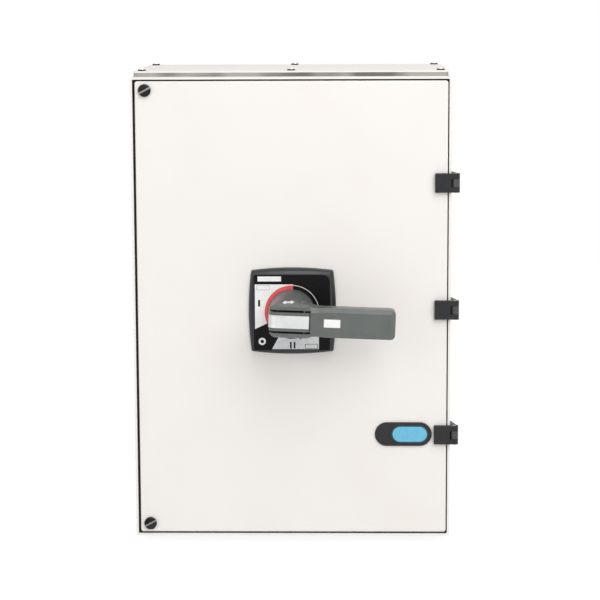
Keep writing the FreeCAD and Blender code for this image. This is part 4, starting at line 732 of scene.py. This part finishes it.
@dataclass
class DialPrint:
    """The printed fields and marks on the dial, in millimetres from the handle's axis.

    Attributes:
        ink: The height of a layer of print.
        side: How far the white field reaches to the left of the axis.
        foot: How far the dotted field reaches below the axis.
        field_top: The top of the white field.
        field_right: Where its top ends on the right.
        ring_centre: The centre of the ring of position bands.
        ring: The ring's outer radius.
        ring_inner: Its inner radius, under the hub.
        hub_ring: The radius at which the dotted field ends below the hub.
        first_start: Where the white field and the thin line meet the top, in degrees.
        first_end: Where the band of the first position ends, in degrees.
        first_steps: The steps of the white field's arc.
        band_start: Where that band starts, in degrees.
        second_start: Where the field of the second position starts, in degrees.
        second_end: Where its arc ends, in degrees.
        second_steps: The steps of its arc.
        second_side: The right side of the second field.
        second_top: The top of that side, under the handle.
        thin_end: Where the thin line on the right ends, in degrees.
        thin_half: Half the thin line's width.
        band_step: The step of a band's round edges, in degrees.
        bars: The name and opposite corners of each bar of the marks I and II.
        zero_centre: The centre of the mark O.
        zero_radii: Its inner and outer radius.
        blank_top: Opposite corners of the blank bar at the top.
        blanks: The name, corners, line width and ink of the blank frame in each field.
    """

    ink: float = 0.05
    side: float = 45.9
    foot: float = 46.5
    field_top: float = 35.8
    field_right: float = 2.6
    ring_centre: Point = (0.5, 0.4)
    ring: float = 34.2
    ring_inner: float = 27.0
    hub_ring: float = 33.6
    first_start: float = 88.0
    first_end: float = 204.4
    first_steps: int = 36
    band_start: float = 87.0
    second_start: float = 242.0
    second_end: float = 349.0
    second_steps: int = 30
    second_side: float = 34.4
    second_top: float = -5.7
    thin_end: float = 4.0
    thin_half: float = 0.35
    band_step: float = 3.0
    bars: tuple[tuple[str, Box], ...] = (
        ("mark_one", ((-41.9, 7.9), (-39.3, 16.1))),
        ("mark_two_1", ((-2.0, -45.6), (0.1, -37.2))),
        ("mark_two_2", ((2.7, -45.6), (4.8, -37.2))),
    )
    zero_centre: Point = (-36.9, -36.6)
    zero_radii: Point = (2.2, 4.6)
    blank_top: Box = ((-42.4, 39.6), (-12.9, 45.9))
    blanks: tuple[tuple[str, Box, float, Finish], ...] = (
        ("blank_one", ((-43.5, 28.6), (-27.4, 34.5)), 0.5, GREY_INK),
        ("blank_two", ((16.9, -45.9), (33.0, -39.9)), 0.6, BLACK_INK),
    )

    def build(self) -> None:
        """Build the fields, the bands and the marks."""
        self.field_one()
        self.field_two()
        self.bands()
        self.marks()

    def lay(self, bm: bmesh.types.BMesh, name: str, layer: int, finish: Finish) -> None:
        """Thicken a flat shape and lay it on the dial.

        Args:
            bm: The flat shape, x right and y up.
            name: The piece's name.
            layer: How many layers of ink lie under it.
            finish: Its ink.
        """
        thicken(bm, self.ink)
        axis = joint_place("handle_turn")
        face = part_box("dial_plate")[0].y
        place = Matrix.Translation((axis.x, face - layer * self.ink * MM, axis.z))
        bmesh.ops.transform(bm, matrix=place @ UPRIGHT, verts=bm.verts[:])
        finish_piece(bm, name, Body.DOOR, finish)

    def field_one(self) -> None:
        """Lay the white field of the first position, on the left."""
        low = -self.side * math.tan(math.radians(self.first_end))
        outline = [(-self.side, self.field_top), (-self.side, low)]
        outline += self.ring_points(self.ring, self.first_end, self.first_start, self.first_steps)
        outline += [(self.field_right, self.field_top)]
        self.lay(flat_outline(outline), "dial_field_one", 0, WHITE_INK)

    def field_two(self) -> None:
        """Lay the dotted field of the second position, at the bottom."""
        start_x = -self.foot / math.tan(math.radians(self.second_start))
        turns = (self.second_start, self.second_end, self.second_steps)
        outline = self.ring_points(self.hub_ring, *turns)
        outline += [(self.second_side, self.second_top), (self.second_side, -self.foot)]
        outline += [(start_x, -self.foot)]
        self.lay(flat_outline(outline), "dial_field_two", 0, DOT_INK)

    def ring_points(self, radius: float, start: float, end: float, steps: int) -> list[Point]:
        """Return points along an arc round the ring's centre, angles in degrees."""
        right, up = self.ring_centre
        return [(x + right, y + up) for x, y in arc_points(radius, start, end, steps)]

    def band(self, inner: float, outer: float, start: float, end: float) -> bmesh.types.BMesh:
        """Spin a radial edge to a flat band.

        Args:
            inner: The band's inner radius.
            outer: Its outer radius.
            start: Where it starts, in degrees.
            end: Where it ends, in degrees.

        Returns:
            The band, round the origin.
        """
        bm = bmesh.new()
        turn = math.radians(start)
        side, rise = math.cos(turn) * MM, math.sin(turn) * MM
        ends = [bm.verts.new((side * radius, rise * radius, 0.0)) for radius in (inner, outer)]
        edge = bm.edges.new(ends)
        bmesh.ops.spin(
            bm,
            geom=[edge, *ends],
            cent=(0.0, 0.0, 0.0),
            axis=AXIS_Z,
            angle=math.radians(end - start),
            steps=round(abs(end - start) / self.band_step),
            use_merge=abs(end - start) >= 360.0,
        )
        return bm

    def bands(self) -> None:
        """Lay the red band of the first position and the thin line on the right."""
        red = self.band(self.ring_inner, self.ring, self.band_start, self.first_end)
        inner, outer = self.ring - self.thin_half, self.ring + self.thin_half
        thin = self.band(inner, outer, self.thin_end, self.first_start)
        centre = Vector((*self.ring_centre, 0.0)) * MM
        for bm in (red, thin):
            bmesh.ops.translate(bm, verts=bm.verts[:], vec=centre)
        self.lay(red, "dial_red_band", 1, RED_INK)
        self.lay(thin, "dial_thin_line", 0, WHITE_INK)

    def frame_line(self, name: str, box: Box, width: float, finish: Finish) -> None:
        """Lay the outline of a rectangle.

        Args:
            name: The piece's name.
            box: The rectangle's opposite corners.
            width: The line's width.
            finish: Its ink.
        """
        bm = rectangle(box)
        bmesh.ops.inset_region(
            bm, faces=bm.faces[:], thickness=width * MM, use_even_offset=True, use_boundary=True
        )
        middle = (Vector(box[0]) + Vector(box[1])) / 2 * MM
        centre = min(bm.faces, key=lambda face: (face.calc_center_median().xy - middle).length)
        bmesh.ops.delete(bm, geom=[centre], context="FACES")
        self.lay(bm, name, 1, finish)

    def marks(self) -> None:
        """Lay the position marks I, II and O, and the blank rectangles."""
        for name, box in self.bars:
            self.lay(rectangle(box), name, 1, BLACK_INK)
        zero = self.band(*self.zero_radii, 0.0, 360.0)
        bmesh.ops.translate(zero, verts=zero.verts[:], vec=Vector((*self.zero_centre, 0.0)) * MM)
        self.lay(zero, "mark_zero", 0, WHITE_INK)
        self.lay(rectangle(self.blank_top), "blank_top", 0, WHITE_INK)
        for blank in self.blanks:
            self.frame_line(*blank)


@dataclass
class HandleLooks:
    """The handle, its padlock lever and the white mark on the hub, in millimetres.

    Attributes:
        edge: The softened edges of the mouldings.
        film_edge: The softened edges of the lever's bright strip.
        tag_edge: The softened edges of the tag on the grip.
        mark_place: The hub's mark, from the handle's axis.
        mark_half: Half its length.
        mark_head: Half the height of its heads.
        mark_shaft: Half the height between its heads.
        mark_point: The length of a head.
        mark_lift: How far it stands off the hub's surface.
        mark_cuts: How often its edges are cut, so that it follows the shoulder.
        mark_start: How far in front of the door the mark starts, before it is laid on.
    """

    edge: float = 0.5
    film_edge: float = 0.2
    tag_edge: float = 0.08
    mark_place: Point = (-2.1, 22.0)
    mark_half: float = 7.6
    mark_head: float = 1.1
    mark_shaft: float = 0.45
    mark_point: float = 4.6
    mark_lift: float = 0.06
    mark_cuts: int = 3
    mark_start: float = 200.0

    def build(self) -> None:
        """Dress the handle's pieces and lay the white mark on its hub."""
        handle = softened_copy("handle", self.edge, HANDLE_NYLON)
        softened_copy("padlock_lever", self.edge, HANDLE_NYLON)
        softened_copy("lever_face", self.film_edge, LEVER_FILM)
        softened_copy("grip_tag", self.tag_edge, WHITE_INK)
        dress(ZINC, "handle_coupling", "retaining_ring", "handle_screw", "hub_washer")
        dress(BLACK_STEEL, "lever_pin")
        self.lay_hub_mark(handle)

    def lay_hub_mark(self, handle: bpy.types.Object) -> None:
        """Lay a double-pointed mark over the hub's upper shoulder.

        Args:
            handle: The handle's piece, which the mark follows.
        """
        half, head, shaft = self.mark_half, self.mark_head, self.mark_shaft
        neck = half - self.mark_point
        right = [(neck, -shaft), (neck, -head), (half, 0.0), (neck, head), (neck, shaft)]
        bm = flat_outline(right + [(-x, -y) for x, y in right])
        bmesh.ops.triangulate(bm, faces=bm.faces[:])
        bmesh.ops.subdivide_edges(bm, edges=bm.edges[:], cuts=self.mark_cuts, use_grid_fill=True)
        side, up = self.mark_place
        start = joint_place("handle_turn") + Vector((side, -self.mark_start, up)) * MM
        bmesh.ops.transform(bm, matrix=Matrix.Translation(start) @ UPRIGHT, verts=bm.verts[:])
        surface = BVHTree.FromObject(handle, bpy.context.evaluated_depsgraph_get())
        for vertex in bm.verts:
            hit, normal, _, _ = surface.ray_cast(vertex.co, Vector((0.0, 1.0, 0.0)))
            if hit is not None:
                vertex.co = hit + normal * self.mark_lift * MM
        finish_piece(bm, "hub_mark", Body.HANDLE, WHITE_INK)


@dataclass
class DoorLooks:
    """The door with its locks, badge and escutcheon, in millimetres.

    Attributes:
        sheet_edge: The softened edges of the door's folded sheet.
        lock_edge: The softened edges of the lock screws.
        badge_edge: The softened edges of the badge.
        panel_edge: The softened edges of its blue panel.
        escutcheon_edge: The softened edges of the escutcheon.
        slot_depth: The depth of a lock screw's slot.
        slot_band: How near to that depth a face counts as the slot's floor.
        ring_width: The dark ring printed round the badge's blue panel.
        ring_steps: The steps of each of its half-round ends.
        ink: The print's height.
    """

    sheet_edge: float = 0.25
    lock_edge: float = 0.35
    badge_edge: float = 0.3
    panel_edge: float = 0.25
    escutcheon_edge: float = 0.4
    slot_depth: float = 1.8
    slot_band: float = 0.1
    ring_width: float = 1.5
    ring_steps: int = 24
    ink: float = 0.06

    def build(self) -> None:
        """Dress the door's pieces."""
        softened_copy("door", self.sheet_edge, COAT)
        dress(SEAL, "door_gasket")
        dress(WHITE_NYLON, "lock_bushes")
        for end in ("top", "bottom"):
            self.light_slot_floor(softened_copy(f"{end}_lock_screw", self.lock_edge, LOCK_STEEL))
        softened_copy("badge", self.badge_edge, BADGE_ABS)
        softened_copy("badge_panel", self.panel_edge, BLUE_INK)
        softened_copy("escutcheon", self.escutcheon_edge, ESCUTCHEON_ABS)
        dress(BLACK_INK, "dial_plate")
        dress(ZINC, "escutcheon_screws", "door_leaf_screws")
        self.badge_ring()

    def light_slot_floor(self, screw: bpy.types.Object) -> None:
        """Paint a highlight of bright steel on the floor of a lock screw's slot.

        Args:
            screw: The screw's piece.
        """
        floor = min(vertex.co.y for vertex in screw.data.vertices) + self.slot_depth * MM
        band = self.slot_band * MM
        # Painted highlight: the slot's floor takes the bright steel colour
        recoat(screw, SLOT_HIGHLIGHT_STEEL, floor - band, floor + band)

    def badge_ring(self) -> None:
        """Print the dark ring round the blue panel, with half-round ends."""
        low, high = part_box("badge_panel")
        radius = (high.z - low.z) / 2 / MM + self.ring_width
        run = (high.x - low.x) / 2 / MM + self.ring_width - radius
        right = [(x + run, y) for x, y in arc_points(radius, -90.0, 90.0, self.ring_steps)]
        left = [(x - run, y) for x, y in arc_points(radius, 90.0, 270.0, self.ring_steps)]
        bm = flat_outline(right + left)
        thicken(bm, self.ink)
        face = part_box("badge")[0].y
        middle = Vector(((low.x + high.x) / 2, face, (low.z + high.z) / 2))
        bmesh.ops.transform(bm, matrix=Matrix.Translation(middle) @ UPRIGHT, verts=bm.verts[:])
        finish_piece(bm, "badge_panel_ring", Body.DOOR, TEAL_INK)


@dataclass
class EnclosureLooks:
    """The shell, its gland plates, their screws and the body's hinge leaves, in millimetres.

    Attributes:
        shell_edge: The softened edges of the shell's folded sheet.
        plate_edge: The softened edges of the gland plates.
        hinge_edge: The softened edges of the hinge leaves.
        gutter_start: Where the gutter's painted shade starts, behind the lip's front.
        gutter_depth: The depth of the gutter behind the lip.
        gutter_slack: How far past that depth a face still counts as the gutter's.
        screw_head: The height of a gland screw's head and washer.
        screw_thread: The radius of its thread.
        screw_turn: How far each screw's recess is turned from the last one's, in degrees.
    """

    shell_edge: float = 0.25
    plate_edge: float = 0.3
    hinge_edge: float = 0.3
    gutter_start: float = 1.0
    gutter_depth: float = 20.0
    gutter_slack: float = 0.1
    screw_head: float = 3.0
    screw_thread: float = 2.5
    screw_turn: float = 37.0

    def build(self) -> None:
        """Dress the enclosure's pieces."""
        # The gutter's grey coat is painted shade for the gaps round the door
        self.shade_gutter(softened_copy("enclosure_shell", self.shell_edge, COAT))
        for end in ("top", "bottom"):
            softened_copy(f"{end}_gland_plate", self.plate_edge, COAT)
            dress(FOAM, f"{end}_gland_gasket")
        self.gland_screws()
        dress(ZINC, "gland_rivet_nuts", "mounting_plate", "stud_nuts")
        dress(ZINC, "body_leaf_screws", "hinge_pins")
        dress(BRASS, "earth_stud", "earth_nuts")
        for label in ("top", "middle", "bottom"):
            softened_copy(f"{label}_hinge_door_leaf", self.hinge_edge, BLACK_NYLON)
            # Painted highlight: the body's leaves are a lighter grey than the door's
            softened_copy(f"{label}_hinge_body_leaf", self.hinge_edge, LIT_LEAF_NYLON)

    def shade_gutter(self, shell: bpy.types.Object) -> None:
        """Paint shade on the gutter behind the lip, so that the gaps round the door read dark.

        Args:
            shell: The shell's piece.
        """
        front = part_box("enclosure_shell")[0].y
        end = front + (self.gutter_depth + self.gutter_slack) * MM
        recoat(shell, GAP_SHADE_COAT, front + self.gutter_start * MM, end)

    def gland_screws(self) -> None:
        """Set a screw with its sealing washer in each place of the gland plates."""
        boxes = loose_boxes("gland_screws")
        span = (boxes[0][1] - boxes[0][0]) / MM
        length = span.z - self.screw_head
        single = PanScrew(span.x / 2, self.screw_head, self.screw_thread, length).mesh()
        sample = bpy.data.meshes.new("pan_screw")
        single.to_mesh(sample)
        single.free()
        together = bmesh.new()
        for index, (low, high) in enumerate(boxes):
            above = high.z > 0.0
            seat = high.z - self.screw_head * MM if above else low.z + self.screw_head * MM
            known = len(together.verts)
            together.from_mesh(sample)
            together.verts.ensure_lookup_table()
            upright = Matrix.Rotation(0.0 if above else math.pi, 4, "X")
            turn = Matrix.Rotation(math.radians(self.screw_turn * index), 4, "Z")
            middle = (low + high) / 2
            place = Matrix.Translation((middle.x, middle.y, seat)) @ upright @ turn
            bmesh.ops.transform(together, matrix=place, verts=together.verts[known:])
        bpy.data.meshes.remove(sample)
        name = "gland_screws_recessed"
        piece = finish_piece(together, name, Body.ENCLOSURE, NICKEL, outward=False)
        # The washers' black is also painted shade under each screw head
        piece.data.materials.append(RUBBER.material())
        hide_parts("gland_screws")


@dataclass
class SwitchLooks:
    """The rotary switch inside the enclosure.

    Attributes:
        decks: How many pole decks it has.
        deck_edge: The softened edges of a deck, in millimetres.
        housing_edge: The softened edges of the drive housing, in millimetres.
    """

    decks: int = 4
    deck_edge: float = 0.4
    housing_edge: float = 0.5

    def build(self) -> None:
        """Dress the switch's pieces."""
        for index in range(1, self.decks + 1):
            softened_copy(f"pole_deck_{index}", self.deck_edge, DECK_COMPOUND)
            dress(ROTOR_COMPOUND, f"rotor_{index}")
        softened_copy("drive_housing", self.housing_edge, ROTOR_COMPOUND)
        dress(ROTOR_COMPOUND, "drive_cover")
        dress(COPPER, "source_one_bars", "source_two_bars", "load_bars", "moving_blades")
        dress(ZINC, "base_plate", "base_screws", "switch_shaft", "tie_bolts")
        dress(ZINC, "terminal_bolts", "terminal_nuts")


@dataclass(frozen=True)
class SoftLamp:
    """A square soft lamp that faces the part.

    Attributes:
        name: The lamp's name.
        place: Its place, in metres.
        size: Its side, in metres.
        power: Its power, in watts.
    """

    name: str
    place: tuple[float, float, float]
    size: float
    power: float

    def hang(self) -> None:
        """Add the lamp to the scene, turned to the part's middle."""
        data = bpy.data.lights.new(self.name, "AREA")
        data.shape = "SQUARE"
        data.size = self.size
        data.energy = self.power
        lamp = bpy.data.objects.new(self.name, data)
        aim = (CAD_BOX[0] + CAD_BOX[1]) / 2 - Vector(self.place)
        turn = aim.to_track_quat("-Z", "Y").to_matrix().to_4x4()
        lamp.matrix_world = Matrix.Translation(self.place) @ turn
        bpy.context.scene.collection.objects.link(lamp)


@dataclass
class Studio:
    """A pale floor, soft lamps and the camera.

    Attributes:
        camera_place: The camera's place, in millimetres.
        yaw: Its turn to the left, in degrees.
        pitch: Its tilt downwards, in degrees.
        roll: Its turn about its own line of sight, in degrees.
        lens: Its focal length, in millimetres.
        sensor: Its sensor's width, in millimetres.
        floor_reach: Half the floor's side, in metres.
        floor_cells: How many cells the floor has along each side.
        paper: How much light the floor gives back to the part.
        shade: How much of the camera's floor takes shadows.
        glow: How much of it shines by itself, so that it is white.
        sky: The strength of the even light from all round.
        lamps: The key lamp on the right, the fill lamp on the left and the top lamp.
    """

    camera_place: tuple[float, float, float] = (66.7, -2848.3, 396.2)
    yaw: float = 1.236
    pitch: float = 8.399
    roll: float = 0.226
    lens: float = 125.26
    sensor: float = 36.0
    floor_reach: float = 40.0
    floor_cells: int = 8
    paper: float = 0.8
    shade: float = 0.2
    glow: float = 0.9
    sky: float = 0.52
    lamps: tuple[SoftLamp, ...] = (
        SoftLamp("key", (1.3, -2.3, 1.9), 2.2, 45.0),
        SoftLamp("fill", (-2.0, -2.4, 0.8), 2.2, 12.5),
        SoftLamp("top", (0.3, -1.1, 2.4), 1.0, 8.0),
    )

    def build(self) -> None:
        """Build the camera, the floor, the world and the lamps."""
        self.camera()
        self.floor()
        self.world()
        for lamp in self.lamps:
            lamp.hang()

    def camera(self) -> None:
        """Place the camera where the photograph was taken."""
        yaw, pitch, roll = (math.radians(angle) for angle in (self.yaw, self.pitch, self.roll))
        level_right = Vector((math.cos(yaw), math.sin(yaw), 0.0))
        level_ahead = Vector((-math.sin(yaw), math.cos(yaw), 0.0))
        ahead = level_ahead * math.cos(pitch) - Vector((0.0, 0.0, math.sin(pitch)))
        level_up = level_ahead * math.sin(pitch) + Vector((0.0, 0.0, math.cos(pitch)))
        right = level_right * math.cos(roll) - level_up * math.sin(roll)
        up = level_right * math.sin(roll) + level_up * math.cos(roll)
        data = bpy.data.cameras.new("camera")
        data.lens = self.lens
        data.sensor_width = self.sensor
        camera = bpy.data.objects.new("camera", data)
        aim = Matrix((right, up, -ahead)).transposed().to_4x4()
        camera.matrix_world = Matrix.Translation(Vector(self.camera_place) * MM) @ aim
        bpy.context.scene.collection.objects.link(camera)
        bpy.context.scene.camera = camera

    def seen_directly(self, tree: bpy.types.NodeTree) -> bpy.types.NodeSocket:
        """Tell what the camera sees, itself or in a mirror or glass, from lighting rays.

        Args:
            tree: The nodes of the material or the world.

        Returns:
            A socket that is 1 for camera, glossy and transmission rays.
        """
        path = add_node(tree, "ShaderNodeLightPath")
        rays = {0: path.outputs["Is Camera Ray"], 1: path.outputs["Is Glossy Ray"]}
        first = add_node(tree, "ShaderNodeMath", {"operation": "MAXIMUM"}, rays)
        both = {0: first.outputs["Value"], 1: path.outputs["Is Transmission Ray"]}
        return add_node(tree, "ShaderNodeMath", {"operation": "MAXIMUM"}, both).outputs["Value"]

    def floor(self) -> None:
        """Lay the floor under the part, white to the camera but for the part's shadow."""
        bm = bmesh.new()
        cells = self.floor_cells
        bmesh.ops.create_grid(bm, x_segments=cells, y_segments=cells, size=self.floor_reach)
        bmesh.ops.translate(bm, verts=bm.verts[:], vec=(0.0, 0.0, CAD_BOX[0].z))
        mesh = bpy.data.meshes.new("floor")
        bm.to_mesh(mesh)
        bm.free()
        floor = bpy.data.objects.new("floor", mesh)
        bpy.context.scene.collection.objects.link(floor)
        mesh.materials.append(self.white_paper())

    def white_paper(self) -> bpy.types.Material:
        """Make the floor's material: matt paper that the camera sees as white.

        Returns:
            The new material.
        """
        made = bpy.data.materials.new("matt_white_paper")
        made.use_nodes = True
        tree = made.node_tree
        tree.nodes.clear()
        paper = {"Color": (self.paper, self.paper, self.paper, 1.0)}
        matt = add_node(tree, "ShaderNodeBsdfDiffuse", paper)
        shade = {"Color": (self.shade, self.shade, self.shade, 1.0)}
        shaded = add_node(tree, "ShaderNodeBsdfDiffuse", shade)
        glow = add_node(tree, "ShaderNodeEmission", {"Strength": self.glow})
        parts = {0: shaded.outputs["BSDF"], 1: glow.outputs["Emission"]}
        pale = add_node(tree, "ShaderNodeAddShader", links=parts)
        ways = {0: self.seen_directly(tree), 1: matt.outputs["BSDF"], 2: pale.outputs["Shader"]}
        mixed = add_node(tree, "ShaderNodeMixShader", links=ways)
        add_node(tree, "ShaderNodeOutputMaterial", links={"Surface": mixed.outputs["Shader"]})
        return made

    def world(self) -> None:
        """Light the part evenly, before a white background."""
        world = bpy.data.worlds.new("studio")
        world.use_nodes = True
        bpy.context.scene.world = world
        tree = world.node_tree
        tree.nodes.clear()
        white = (1.0, 1.0, 1.0, 1.0)
        soft = {"Color": white, "Strength": self.sky}
        light = add_node(tree, "ShaderNodeBackground", soft).outputs["Background"]
        plain = {"Color": white, "Strength": 1.0}
        back = add_node(tree, "ShaderNodeBackground", plain).outputs["Background"]
        ways = {0: self.seen_directly(tree), 1: light, 2: back}
        mixed = add_node(tree, "ShaderNodeMixShader", links=ways)
        add_node(tree, "ShaderNodeOutputWorld", links={"Surface": mixed.outputs["Shader"]})


def main() -> None:
    """Build the looks of every sub-assembly, then the studio."""
    logging.basicConfig(level=logging.INFO, format="%(message)s")
    bpy.context.scene.view_settings.view_transform = "Standard"
    for part in (EnclosureLooks, DoorLooks, DialPrint, HandleLooks, SwitchLooks, Studio):
        part().build()


if __name__ == "__main__":
    main()
